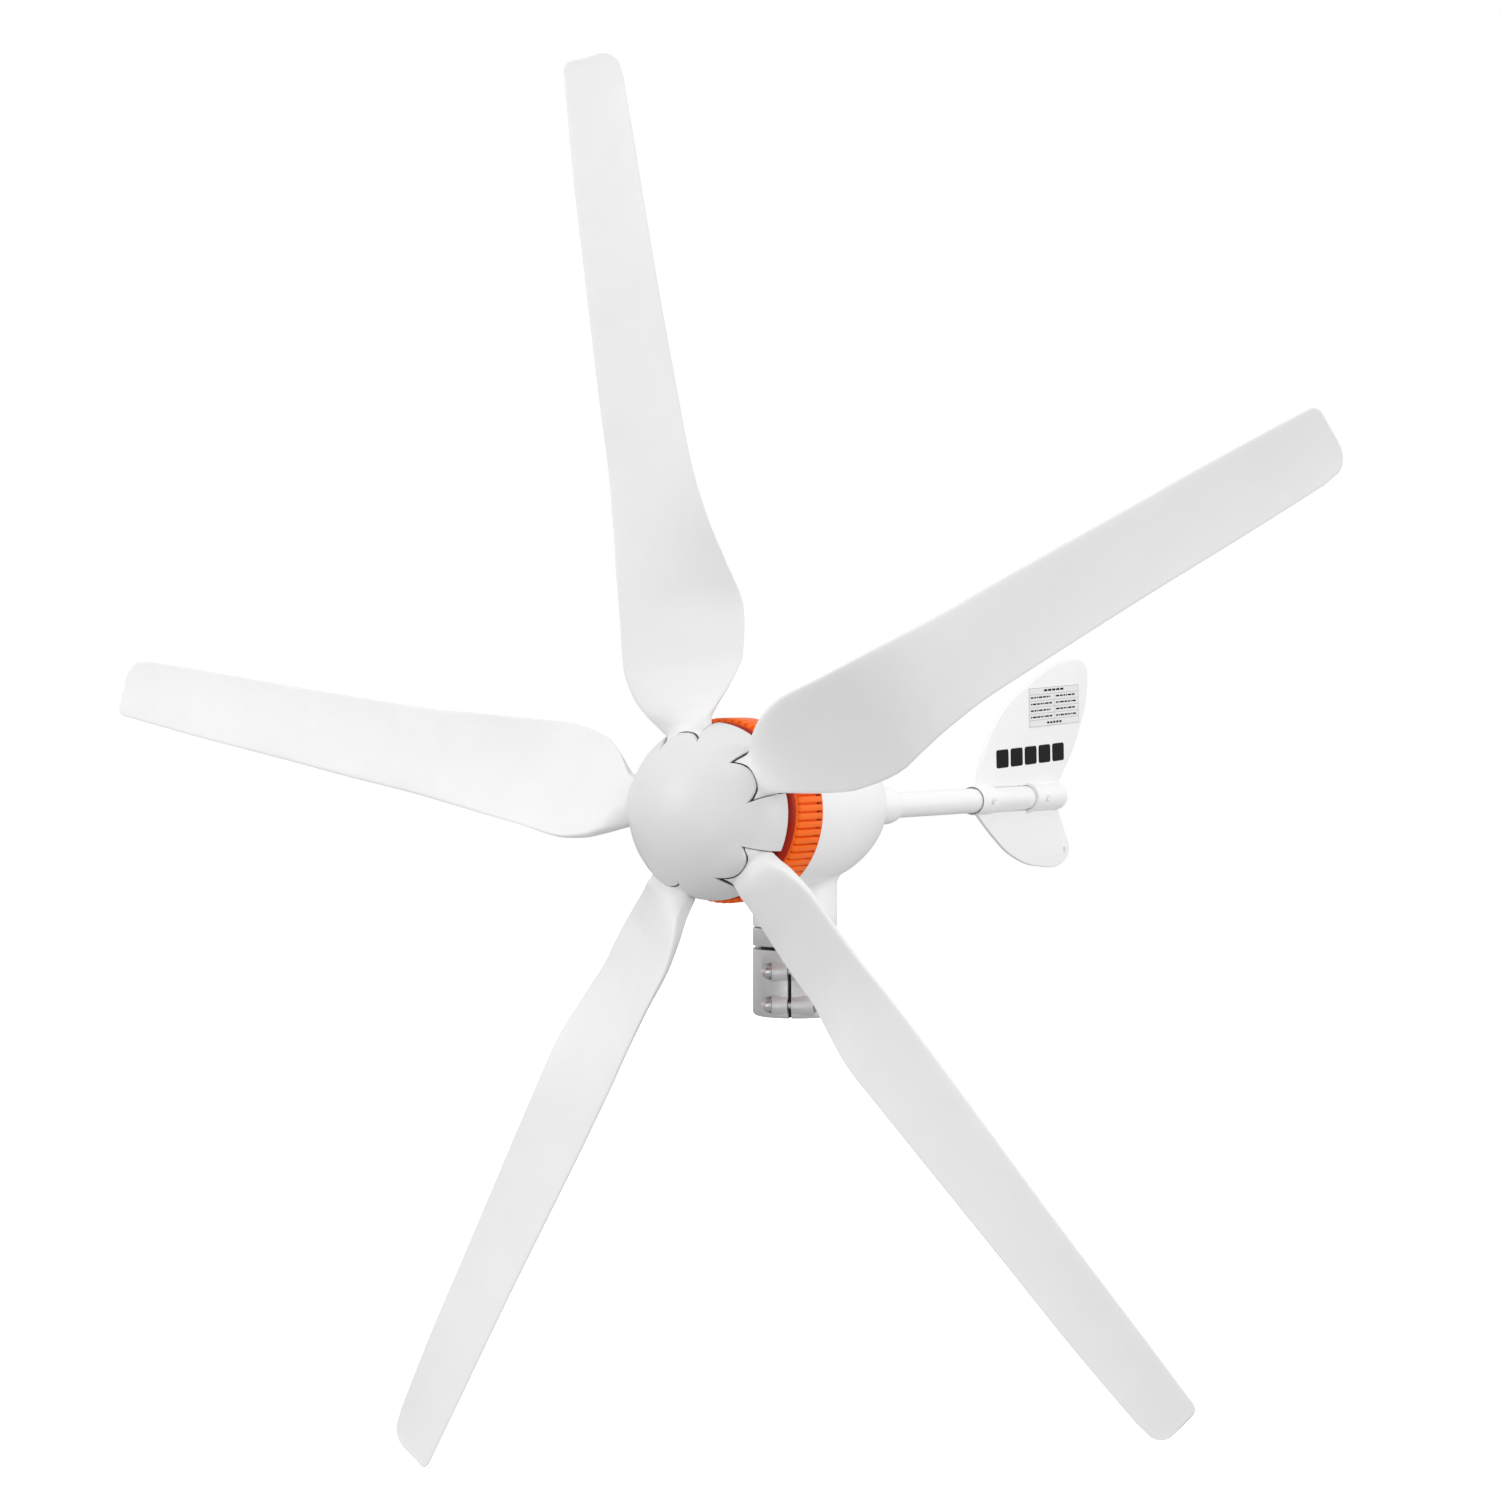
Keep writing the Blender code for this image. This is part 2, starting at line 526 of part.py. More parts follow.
def build_nacelle_shell(look):
    """Bulb-shaped casing with the yaw neck and four lugs for the through bolts."""
    shell = turned("nacelle_shell", bulb_profile(0.0, SHELL_FRONT), ALTERNATOR_AXIS, look)
    neck_profile = rod_profile(CLAMP_RADIUS, NECK_BOTTOM, HUB_HEIGHT - 0.040)
    neck = turned("neck_solid", neck_profile, YAW_AXIS, None)
    combine(shell, neck, "UNION")
    cavity = turned("cavity_cutter", bulb_profile(SHELL_WALL, SHELL_FRONT - 0.01), ALTERNATOR_AXIS, None)
    housing_profile = rod_profile(CLAMP_RADIUS, NECK_BOTTOM - 0.02, NECK_TOP)
    housing = turned("housing_solid", housing_profile, YAW_AXIS, None)
    combine(cavity, housing, "DIFFERENCE")
    for number in range(THROUGH_BOLT_COUNT):
        turn = math.radians(45.0 + 90.0 * number)
        centre = (SHELL_LUG_CIRCLE * math.cos(turn), SHELL_LUG_CIRCLE * math.sin(turn), SHELL_LUG_DEPTH)
        lug = block("shell_lug_%d" % (number + 1), SHELL_LUG_SIZE, centre, ALTERNATOR_AXIS, None, turn)
        combine(cavity, lug, "DIFFERENCE")
    combine(shell, cavity, "DIFFERENCE")
    bore = turned("neck_bore", [(0.0, NECK_TOP + 0.01), (NECK_BORE, NECK_TOP + 0.01),
                                (NECK_BORE, SHOULDER_HIGH), (SHOULDER_BORE, SHOULDER_HIGH),
                                (SHOULDER_BORE, SHOULDER_LOW), (NECK_BORE, SHOULDER_LOW),
                                (NECK_BORE, NECK_BOTTOM - 0.01),
                                (0.0, NECK_BOTTOM - 0.01)], YAW_AXIS, None)
    combine(shell, bore, "DIFFERENCE")
    tail_hole = turned("tail_hole", rod_profile(TAIL_HOLE_RADIUS, 0.060, 0.130), BOOM_AXIS, None, MEDIUM)
    tail_hole.rotation_euler = (0.0, 0.0, math.pi / MEDIUM)
    combine(shell, tail_hole, "DIFFERENCE")
    cut_through_bolts(shell, 0.100, 0.160)


def cut_through_bolts(piece, low, high):
    """Drill a piece for the four through bolts between two depths."""
    for number in range(THROUGH_BOLT_COUNT):
        turn = math.radians(45.0 + 90.0 * number)
        hole = turned("%s_drill_%d" % (piece.name, number + 1),
                      rod_profile(THROUGH_BOLT_RADIUS + BOLT_CLEARANCE, low, high),
                      ALTERNATOR_AXIS, None, SMALL)
        hole.location = (THROUGH_BOLT_CIRCLE * math.cos(turn), THROUGH_BOLT_CIRCLE * math.sin(turn), 0.0)
        combine(piece, hole, "DIFFERENCE")


def rib_outline():
    """Toothed outline of the ribbed ring."""
    pitch = math.tau / RIB_COUNT
    points = []
    for number in range(RIB_COUNT):
        start = number * pitch
        for share, radius in RIB_SHAPE:
            angle = start + share * pitch
            points.append((radius * math.cos(angle), radius * math.sin(angle)))
    return points


def build_front_cover(look):
    """Front end bell of the alternator: a flat face, a ribbed rim and the front bearing seat."""
    corner = arc((COVER_RADIUS - COVER_CORNER, COVER_FACE + COVER_CORNER), COVER_CORNER, 0.0, -90.0, 4)
    spigot_inner = SPIGOT_RADIUS - SPIGOT_WALL
    bearing_seat = FRONT_BEARING_DEPTH - GAP
    bearing_bore = BEARING_OUTER + GAP
    hub_back = FRONT_BEARING_DEPTH + BEARING_WIDTH + 0.001
    profile = [(spigot_inner, SPIGOT_BACK), (SPIGOT_RADIUS, SPIGOT_BACK), (SPIGOT_RADIUS, COVER_BACK),
               (COVER_RADIUS, COVER_BACK)]
    profile += corner
    profile += [(COVER_BORE, COVER_FACE), (COVER_BORE, bearing_seat), (bearing_bore, bearing_seat),
                (bearing_bore, hub_back), (BEARING_HOUSING, hub_back),
                (BEARING_HOUSING, COVER_FACE + COVER_WALL), (spigot_inner, COVER_FACE + COVER_WALL)]
    cover = turned("front_cover", profile, ALTERNATOR_AXIS, look, ROUND, ring=True)
    teeth = plate("rib_ring", rib_outline(), RIB_START, COVER_BACK - 0.0002, ALTERNATOR_AXIS, None)
    core = turned("rib_core", rod_profile(COVER_RADIUS - 0.004, RIB_START - 0.01, COVER_BACK + 0.01),
                  ALTERNATOR_AXIS, None)
    combine(teeth, core, "DIFFERENCE")
    combine(cover, teeth, "UNION")
    cut_through_bolts(cover, COVER_FACE - 0.01, COVER_FACE + 0.02)


def build_end_plate(look):
    """Rear end plate, with the rear bearing seat, clamped by the through bolts."""
    bearing_bore = BEARING_OUTER + GAP
    back = REAR_BEARING_DEPTH + BEARING_WIDTH
    plate_back = END_PLATE_FRONT + END_PLATE_THICKNESS
    seat = REAR_BEARING_DEPTH - GAP
    profile = [(bearing_bore, back), (BEARING_HOUSING, back), (BEARING_HOUSING, plate_back),
               (END_PLATE_RADIUS, plate_back), (END_PLATE_RADIUS, END_PLATE_FRONT),
               (END_PLATE_BORE, END_PLATE_FRONT), (END_PLATE_BORE, seat), (bearing_bore, seat)]
    end_plate = turned("rear_end_plate", profile, ALTERNATOR_AXIS, look, ROUND, ring=True)
    cut_through_bolts(end_plate, END_PLATE_FRONT - 0.01, END_PLATE_FRONT + 0.02)


def build_stator(steel, copper):
    """Slotted laminated core with an end winding on each side."""
    core = turned("stator_core", ring_profile(STATOR_INNER, STATOR_OUTER, STATOR_FRONT, STATOR_BACK),
                  ALTERNATOR_AXIS, steel, ROUND, ring=True)
    middle = (STATOR_FRONT + STATOR_BACK) / 2
    size = (2 * STATOR_SLOT_DEPTH, STATOR_SLOT_WIDTH, 2 * (STATOR_BACK - STATOR_FRONT))
    for number in range(STATOR_SLOTS):
        turn = math.tau * number / STATOR_SLOTS
        slot = block("stator_slot_%d" % (number + 1), size,
                     (STATOR_INNER * math.cos(turn), STATOR_INNER * math.sin(turn), middle),
                     ALTERNATOR_AXIS, None, turn)
        combine(core, slot, "DIFFERENCE")
    for side, low in (("front", STATOR_FRONT - GAP - WINDING_LENGTH), ("rear", STATOR_BACK + GAP)):
        high = low + WINDING_LENGTH
        corner = WINDING_CORNER
        profile = [(WINDING_INNER + corner, high), (WINDING_OUTER - corner, high),
                   (WINDING_OUTER, high - corner), (WINDING_OUTER, low + corner),
                   (WINDING_OUTER - corner, low), (WINDING_INNER + corner, low),
                   (WINDING_INNER, low + corner), (WINDING_INNER, high - corner)]
        turned("winding_" + side, profile, ALTERNATOR_AXIS, copper, ROUND, ring=True)


def build_through_bolts(look):
    """Long bolts from the front cover through the end plate into the shell's lugs."""
    head_back = COVER_FACE - GAP
    head_front = head_back - THROUGH_HEAD_HEIGHT
    profile = [(0.0, THROUGH_BOLT_TIP), (THROUGH_BOLT_RADIUS, THROUGH_BOLT_TIP),
               (THROUGH_BOLT_RADIUS, head_back), (THROUGH_HEAD_RADIUS, head_back),
               (0.9 * THROUGH_HEAD_RADIUS, head_front), (0.0, head_front)]
    for number in range(THROUGH_BOLT_COUNT):
        turn = math.radians(45.0 + 90.0 * number)
        bolt = turned("through_bolt_%d" % (number + 1), profile, ALTERNATOR_AXIS, look, SMALL)
        bolt.location = (THROUGH_BOLT_CIRCLE * math.cos(turn), THROUGH_BOLT_CIRCLE * math.sin(turn), 0.0)


# ---------------------------------------------------------------- tail
def tail_drill(name, radius, place):
    """A cutter across one side of the boom and the sleeve on it."""
    drill = turned(name, rod_profile(radius, 0.0, 0.020), YAW_AXIS, None, SMALL)
    drill.location = (0.002, place, BOOM_HEIGHT)
    drill.rotation_euler = (0.0, math.radians(90.0), 0.0)
    return drill


def build_boom(white, steel):
    """Collar on the nacelle, the boom tube in it, and the screw that holds them."""
    bore = BOOM_RADIUS + GAP
    spigot = TAIL_HOLE_RADIUS - GAP
    profile = [(bore, COLLAR_END)] + list(COLLAR_PROFILE)
    profile += [(spigot, COLLAR_FACE), (spigot, BOOM_START), (bore, BOOM_START)]
    collar = turned("boom_collar", profile, BOOM_AXIS, white, MEDIUM, ring=True)
    boom = turned("tail_boom", ring_profile(BOOM_BORE, BOOM_RADIUS, BOOM_START + 0.002, BOOM_END),
                  BOOM_AXIS, white, MEDIUM, ring=True)
    for piece in (collar, boom):
        profile = rod_profile(BOOM_SCREW_HOLE, -0.030, -0.005)
        drill = turned(piece.name + "_screw_hole", profile, YAW_AXIS, None, SMALL)
        drill.location = (0.0, BOOM_SCREW_PLACE, BOOM_HEIGHT)
        combine(piece, drill, "DIFFERENCE")
    screw = turned("boom_screw", BOOM_SCREW_PROFILE, YAW_AXIS, steel, SMALL)
    screw.location = (0.0, BOOM_SCREW_PLACE, BOOM_HEIGHT)
    for name, place in FIN_SCREW_PLACES.items():
        combine(boom, tail_drill("boom_hole_" + name, FIN_SCREW_HOLE, place), "DIFFERENCE")


def build_vane(white, steel, label):
    """Moulded vane: two fins on a split sleeve that grips the boom, its screws and label."""
    corner = SLEEVE_CORNER
    cap = arc((SLEEVE_RADIUS - corner, SLEEVE_END - corner), corner, 90.0, 0.0, 4)
    bore = BOOM_RADIUS + GAP
    lip = SLEEVE_RADIUS + SLEEVE_LIP
    lip_back = WINDOW_END + SLEEVE_LIP_LENGTH
    profile = [(0.0, SLEEVE_END)] + cap
    profile += [(SLEEVE_RADIUS, lip_back), (lip, lip_back), (lip, WINDOW_END), (SLEEVE_RADIUS, WINDOW_END),
                (SLEEVE_RADIUS, SLEEVE_START), (bore, SLEEVE_START), (bore, BOOM_END + GAP),
                (0.0, BOOM_END + GAP)]
    vane = turned("tail_vane", profile, BOOM_AXIS, white, MEDIUM)
    half = FIN_THICKNESS / 2
    combine(vane, plate("upper_fin", UPPER_FIN, -half, half, FIN_FRAME, None, smooth=True), "UNION")
    combine(vane, plate("lower_fin", LOWER_FIN, -half, half, FIN_FRAME, None, smooth=True), "UNION")
    size = (0.020, WINDOW_END - WINDOW_START, 0.040)
    for side, sign in (("left", -1), ("right", 1)):
        centre = (sign * (half + size[0] / 2), (WINDOW_START + WINDOW_END) / 2, BOOM_HEIGHT)
        window = block("window_cutter_" + side, size, centre, YAW_AXIS, None)
        combine(vane, window, "DIFFERENCE")
    for name, place in FIN_SCREW_PLACES.items():
        combine(vane, tail_drill("vane_hole_" + name, FIN_SCREW_HOLE, place), "DIFFERENCE")
        screw = turned("vane_screw_" + name, FIN_SCREW_PROFILE, YAW_AXIS, steel, SMALL)
        screw.location = (-0.0012, place, BOOM_HEIGHT)
        screw.rotation_euler = (0.0, math.radians(90.0), 0.0)
    hang = turned("hang_hole", rod_profile(HANG_HOLE_RADIUS, -0.01, 0.01), FIN_FRAME, None, SMALL)
    hang.location = (HANG_HOLE[0], HANG_HOLE[1], 0.0)
    combine(vane, hang, "DIFFERENCE")
    sticker = block("rating_sticker", STICKER_SIZE, STICKER_CENTRE, YAW_AXIS, label)
    sticker.rotation_euler = (math.radians(STICKER_TILT), 0.0, 0.0)


# ---------------------------------------------------------------- rotor
def build_nose_cone(look):
    """Domed cone: a half-round tongue over each blade root, and skirts between the blades."""
    depth = NOSE_RIM_DEPTH - NOSE_DEPTH
    outside = []
    inside = []
    for angle in NOSE_ANGLES:
        turn = math.radians(angle)
        outside.append((NOSE_RADIUS * math.sin(turn), NOSE_RIM_DEPTH - depth * math.cos(turn)))
        inside.append(((NOSE_RADIUS - NOSE_WALL) * math.sin(turn),
                       NOSE_RIM_DEPTH - (depth - NOSE_WALL) * math.cos(turn)))
    cone = turned("nose_cone", inside[::-1] + outside, ROTOR_AXIS, look)
    half = SLOT_HALF_WIDTH
    bulge = TONGUE_TIP - TONGUE_ROOT
    sweep = (half * half + bulge * bulge) / (2 * bulge)
    reach = math.degrees(math.asin(half / sweep))
    tongue = arc((0.0, -(TONGUE_TIP - sweep)), sweep, -90.0 - reach, -90.0 + reach, 7)
    past = -NOSE_RADIUS - 0.020
    outline = tongue + [(half, past), (-half, past)]
    for number in range(BLADE_COUNT):
        slot = plate("nose_slot_%d" % (number + 1), outline, NOSE_DEPTH - 0.01, NOSE_RIM_DEPTH + 0.01,
                     ROTOR_AXIS, None)
        slot.rotation_euler = (0.0, 0.0, blade_turn(number))
        combine(cone, slot, "DIFFERENCE")


def blade_turn(number):
    """Angle of one blade about the rotor axis."""
    return math.radians(FIRST_BLADE_ANGLE + 360.0 / BLADE_COUNT * number)


def smooth_value(places, values, place):
    """Cubic through the values, with slopes that never overshoot."""
    steps = np.diff(places)
    rises = np.diff(values) / steps
    slopes = np.zeros(len(values))
    slopes[0] = rises[0]
    slopes[-1] = rises[-1]
    for i in range(1, len(values) - 1):
        if rises[i - 1] * rises[i] > 0:
            slopes[i] = 2 * rises[i - 1] * rises[i] / (rises[i - 1] + rises[i])
    i = int(np.clip(np.searchsorted(places, place) - 1, 0, len(steps) - 1))
    t = (place - places[i]) / steps[i]
    start = (2 * t ** 3 - 3 * t ** 2 + 1) * values[i] + (t ** 3 - 2 * t ** 2 + t) * steps[i] * slopes[i]
    end = (3 * t ** 2 - 2 * t ** 3) * values[i + 1] + (t ** 3 - t ** 2) * steps[i] * slopes[i + 1]
    return start + end


def blade_section(radius):
    """Points round one section: sideways place and depth, front side first."""
    table = np.array(BLADE_SECTIONS)
    share = radius / TIP_RADIUS
    lead_x, lead_z, trail_x, trail_z, thick, square = (
        smooth_value(table[:, 0], table[:, column], share) for column in range(1, 7))
    lead = np.array((lead_x, lead_z)) * TIP_RADIUS
    trail = np.array((trail_x, trail_z)) * TIP_RADIUS
    lead_cut = corner_cut(radius, TIP_LEADING_CORNER)
    trail_cut = corner_cut(radius, TIP_TRAILING_CORNER)
    chord = trail - lead
    length = float(np.hypot(*chord))
    along = chord / length
    front = np.array((along[1], -along[0]))
    lead = lead + along * lead_cut
    length = length - lead_cut - trail_cut
    front_side = []
    back_side = []
    for u in CHORD_PLACES:
        airfoil = 0.5 * thick * (2.6 * math.sqrt(u) * (1.0 - u) + EDGE_SHARE)
        slab = 0.5 * thick * (1.0 - abs(2 * u - 1) ** 8) ** 0.125
        half = TIP_RADIUS * (airfoil * (1.0 - square) + slab * square)
        arch = BLADE_CAMBER * length * (1.0 - square) * 4 * u * (1.0 - u)
        spot = lead + along * (u * length) - front * arch
        front_side.append(spot + front * half * (FRONT_SHARE + (1.0 - FRONT_SHARE) * square))
        back_side.append(spot - front * half)
    edge_front = lead
    edge_back = lead + along * length
    return [edge_front] + front_side + [edge_back] + back_side[::-1]


def corner_cut(radius, corner):
    """How far a rounded tip corner pulls an edge in at this radius."""
    depth = radius - (TIP_RADIUS - corner)
    if depth <= 0.0:
        return 0.0
    return corner - math.sqrt(max(corner * corner - depth * depth, 0.0))


def blade_mesh():
    """Loft of the sections, closed at the root and the tip."""
    radii = [place * TIP_RADIUS for place in LOFT_PLACES]
    shape = bmesh.new()
    rings = []
    for radius in radii:
        rings.append([shape.verts.new((x, -radius, z)) for x, z in blade_section(radius)])
    count = len(rings[0])
    for low, high in zip(rings, rings[1:]):
        for i in range(count):
            after = (i + 1) % count
            shape.faces.new((low[i], low[after], high[after], high[i]))
    shape.faces.new(rings[0][::-1])
    shape.faces.new(rings[-1])
    bmesh.ops.recalc_face_normals(shape, faces=shape.faces)
    mesh = bpy.data.meshes.new("blade")
    shape.to_mesh(mesh)
    shape.free()
    return mesh


def build_blades(look):
    """Five blades on one mesh, each drilled for its bolt."""
    mesh = blade_mesh()
    for number in range(BLADE_COUNT):
        blade = add_piece("blade_%d" % (number + 1), mesh.copy(), ROTOR_AXIS, look)
        blade.rotation_euler = (0.0, 0.0, blade_turn(number))
        combine(blade, blade_drill("blade_drill_%d" % (number + 1), number), "DIFFERENCE")


def blade_drill(name, number):
    """Cutter for one blade bolt."""
    profile = rod_profile(BLADE_BOLT_RADIUS + BOLT_CLEARANCE, 0.0, 0.060)
    drill = turned(name, profile, ROTOR_AXIS, None, SMALL)
    turn = blade_turn(number)
    drill.location = (BLADE_BOLT_CIRCLE * math.sin(turn), -BLADE_BOLT_CIRCLE * math.cos(turn), 0.0)
    return drill


def build_hub(aluminium, steel):
    """Hub plate behind the roots, clamp plate before them, their bolts, washer and nut."""
    bore = SHAFT_RADIUS + GAP
    centre_front = CLAMP_PLATE_BACK + GAP
    profile = [(bore, HUB_BOSS_BACK), (HUB_BOSS_RADIUS, HUB_BOSS_BACK), (HUB_BOSS_RADIUS, HUB_PLATE_BACK),
               (HUB_PLATE_RADIUS, HUB_PLATE_BACK), (HUB_PLATE_RADIUS, HUB_PLATE_FRONT),
               (HUB_CENTRE_RADIUS, HUB_PLATE_FRONT), (HUB_CENTRE_RADIUS, centre_front),
               (bore, centre_front)]
    hub = turned("hub_plate", profile, ROTOR_AXIS, aluminium, ROUND, ring=True)
    ring = turned("blade_clamp_plate",
                  ring_profile(bore, CLAMP_PLATE_RADIUS, CLAMP_PLATE_FRONT, CLAMP_PLATE_BACK),
                  ROTOR_AXIS, aluminium, ROUND, ring=True)
    seat = CLAMP_PLATE_FRONT - GAP
    head = seat - BLADE_BOLT_HEAD
    profile = [(0.0, HUB_PLATE_BACK), (BLADE_BOLT_RADIUS, HUB_PLATE_BACK), (BLADE_BOLT_RADIUS, seat),
               (BLADE_BOLT_HEAD, seat), (BLADE_BOLT_HEAD, head), (0.0, head)]
    for number in range(BLADE_COUNT):
        combine(hub, blade_drill("hub_drill_%d" % (number + 1), number), "DIFFERENCE")
        combine(ring, blade_drill("ring_drill_%d" % (number + 1), number), "DIFFERENCE")
        bolt = turned("blade_bolt_%d" % (number + 1), profile, ROTOR_AXIS, steel, SMALL)
        turn = blade_turn(number)
        bolt.location = (BLADE_BOLT_CIRCLE * math.sin(turn), -BLADE_BOLT_CIRCLE * math.cos(turn), 0.0)
    washer_front = seat - HUB_WASHER_THICKNESS
    nut_back = washer_front - GAP
    turned("hub_washer", ring_profile(THREAD_RADIUS + GAP, HUB_WASHER_RADIUS, washer_front, seat),
           ROTOR_AXIS, steel, MEDIUM, ring=True)
    turned("hub_nut", ring_profile(hexagon_bore(THREAD_RADIUS), HUB_NUT_RADIUS, nut_back - HUB_NUT_HEIGHT,
                                   nut_back), ROTOR_AXIS, steel, 6, ring=True)


def build_shaft(steel):
    """Main shaft, its magnet drum and the races that turn with it."""
    shoulder = CLAMP_PLATE_BACK - 0.0005
    profile = [(0.0, SHAFT_END), (SHAFT_RADIUS, SHAFT_END), (SHAFT_RADIUS, shoulder),
               (THREAD_RADIUS, shoulder), (THREAD_RADIUS, SHAFT_START), (0.0, SHAFT_START)]
    turned("main_shaft", profile, ROTOR_AXIS, steel, MEDIUM)
    bore = SHAFT_RADIUS + GAP
    low = STATOR_FRONT - MAGNET_OVERHANG
    high = STATOR_BACK + MAGNET_OVERHANG
    profile = [(bore, high), (MAGNET_RADIUS, high), (MAGNET_RADIUS, low), (bore, low)]
    turned("magnet_rotor", profile, ROTOR_AXIS, steel, ROUND, ring=True)


# ---------------------------------------------------------------- assembly
clear_scene()
PARTS = new_collection("small_wind_turbine")
CUTTERS = new_collection("cutters")
FORWARD = (math.radians(-90.0), 0.0, 0.0)
YAW_AXIS = new_frame("yaw_axis", (0.0, 0.0, 0.0))
CLAMP_AXIS = new_frame("clamp_axis", (0.0, 0.0, 0.0), (0.0, 0.0, math.radians(CLAMP_TURN)))
ROTOR_AXIS = new_frame("rotor_axis", (0.0, TIP_PLANE_Y, HUB_HEIGHT), FORWARD, YAW_AXIS)
ALTERNATOR_AXIS = new_frame("alternator_axis", (0.0, TIP_PLANE_Y, HUB_HEIGHT), FORWARD, YAW_AXIS)
BOOM_AXIS = new_frame("boom_axis", (0.0, 0.0, BOOM_HEIGHT), FORWARD, YAW_AXIS)
FIN_FRAME = new_frame("fin_frame", (0.0, 0.0, 0.0), (math.radians(90.0), 0.0, math.radians(90.0)), YAW_AXIS)

PAINTED = (WHITE, 0.35, 0.0)
MOULDED = (BLADE_WHITE, 0.45, 0.0)
RIBBED = (ORANGE, 0.40, 0.0)
CAST = (ALUMINIUM, 0.35, 1.0)
BRIGHT = (STEEL, 0.30, 1.0)
WOUND = (COPPER, 0.40, 1.0)
CONTACT = (BRASS, 0.30, 1.0)
DARK = (BLACK, 0.60, 0.0)
PAPER = ((0.90, 0.90, 0.90), 0.50, 0.0)

build_pole_clamp(CAST)
build_clamp_fasteners(BRIGHT)
build_spindle(BRIGHT)
build_yaw_parts(BRIGHT, CONTACT, DARK, DARK)
build_nacelle_shell(PAINTED)
build_front_cover(RIBBED)
build_end_plate(CAST)
build_stator(BRIGHT, WOUND)
build_through_bolts(BRIGHT)
build_boom(PAINTED, BRIGHT)
build_vane(PAINTED, BRIGHT, PAPER)
build_nose_cone(MOULDED)
build_blades(MOULDED)
build_hub(CAST, BRIGHT)
build_shaft(BRIGHT)
for bearing, depth in (("front_bearing", FRONT_BEARING_DEPTH), ("rear_bearing", REAR_BEARING_DEPTH)):
    build_bearing(bearing, ROTOR_AXIS, SHAFT_RADIUS + GAP, BEARING_OUTER, depth, BEARING_WIDTH, BRIGHT)
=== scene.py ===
"""Looks of a small five-blade wind turbine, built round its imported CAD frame.

Row frame: metres, +Z up, the yaw axis at X = Y = 0, the nose towards -Y and the tail towards +Y.
"""

import json
import math

import bmesh
import bpy
import numpy as np
from mathutils import Matrix, Vector


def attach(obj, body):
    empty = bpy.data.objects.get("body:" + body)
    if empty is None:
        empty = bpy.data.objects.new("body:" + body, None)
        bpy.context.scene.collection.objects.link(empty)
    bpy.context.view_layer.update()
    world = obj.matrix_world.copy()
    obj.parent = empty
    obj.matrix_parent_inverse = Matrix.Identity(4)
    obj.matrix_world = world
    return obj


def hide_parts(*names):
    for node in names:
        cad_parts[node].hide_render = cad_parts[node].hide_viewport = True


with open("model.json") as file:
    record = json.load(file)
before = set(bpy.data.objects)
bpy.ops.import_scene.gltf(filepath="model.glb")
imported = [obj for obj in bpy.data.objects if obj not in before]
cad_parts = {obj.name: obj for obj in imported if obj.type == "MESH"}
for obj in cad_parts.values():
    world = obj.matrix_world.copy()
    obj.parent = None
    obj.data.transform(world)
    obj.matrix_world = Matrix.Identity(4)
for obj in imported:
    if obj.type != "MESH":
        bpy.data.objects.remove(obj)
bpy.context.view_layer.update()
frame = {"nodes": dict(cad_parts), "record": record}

# ------------------------ driving sizes, as in the CAD
HUB_HEIGHT = 0.170
TIP_PLANE_Y = -0.163
TIP_RADIUS = 0.600
BLADE_COUNT = 5
FIRST_BLADE_ANGLE = -8.9
BLADE_STEP = 360.0 / BLADE_COUNT

# Depths are behind the plane of the blade tips, along the rotor axis.
NOSE_DEPTH = -0.015
NOSE_RIM_DEPTH = 0.043
NOSE_RADIUS = 0.070
NOSE_WALL = 0.0020
NOSE_RIM_EASE = 0.0004
TONGUE_LIFT = 0.0030
TONGUE_LIFT_START = 0.044
TONGUE_LIFT_HALF_WIDTH = 0.023
TONGUE_HALF_WIDTH = 0.0174
TONGUE_ROOT = 0.0520
TONGUE_TIP = 0.0625
SLOT_FLARE = -0.0262
SLOT_FLARE_STEP = 0.008
SLOT_REACH = 0.090
SLOT_DEPTHS = (-0.03, 0.06)
SEAM_GAP = 0.0009
GROOVE_HALF_WIDTH = 0.022
GROOVE_OUTER = 0.046
GROOVE_INNER = 0.020
GROOVE_DEPTHS = (-0.030, 0.0236)

COVER_FACE = 0.0475
COVER_BACK = 0.0889
COVER_VALLEY = 0.0700
COVER_CORNER = 0.0065
COVER_PLATE = 0.004
COVER_SHAFT_HOLE = 0.0095
COVER_FLAT_RADIUS = 0.0500
FACE_RING_INNER = 0.0260
FACE_RING_OUTER = 0.0333
FACE_RING_HEIGHT = 0.0006
FACE_RING_SLOPE = 0.0003
RIB_RADIUS = 0.0732
RIB_START = 0.0545
RIB_COUNT = 70
RIB_END_ROUNDING = 0.0026
RIB_PIT = 0.0016
RIM_RADIUS = RIB_RADIUS - 0.0001
RIM_EASE = 0.0003
SPIGOT_RADIUS = 0.0652
SPIGOT_BORE = 0.0620
SPIGOT_LENGTH = 0.006
PIT_SHADE_SEAL_BORE = 0.0664

SHELL_FRONT = 0.0893
BULB_RADIUS = 0.0693
BULB_START = 0.129
BULB_LENGTH = 0.1376
SHELL_WALL = 0.0036
SHELL_MOUTH = 0.010
TAIL_HOLE_RADIUS = 0.0143
TAIL_HOLE_SPAN = (0.060, 0.130)

CLAMP_TURN = 25.0
CLAMP_RADIUS = 0.0345
CLAMP_TOP = 0.0720
CLAMP_WEB = 0.0580
POLE_BORE = 0.0245
SPINDLE_HOLE = 0.0153
SLIT_HEIGHT = 0.0562
SLIT_WIDTH = 0.0030
SLIT_CORNER = 0.0050
SLIT_SWEEP = 100.0
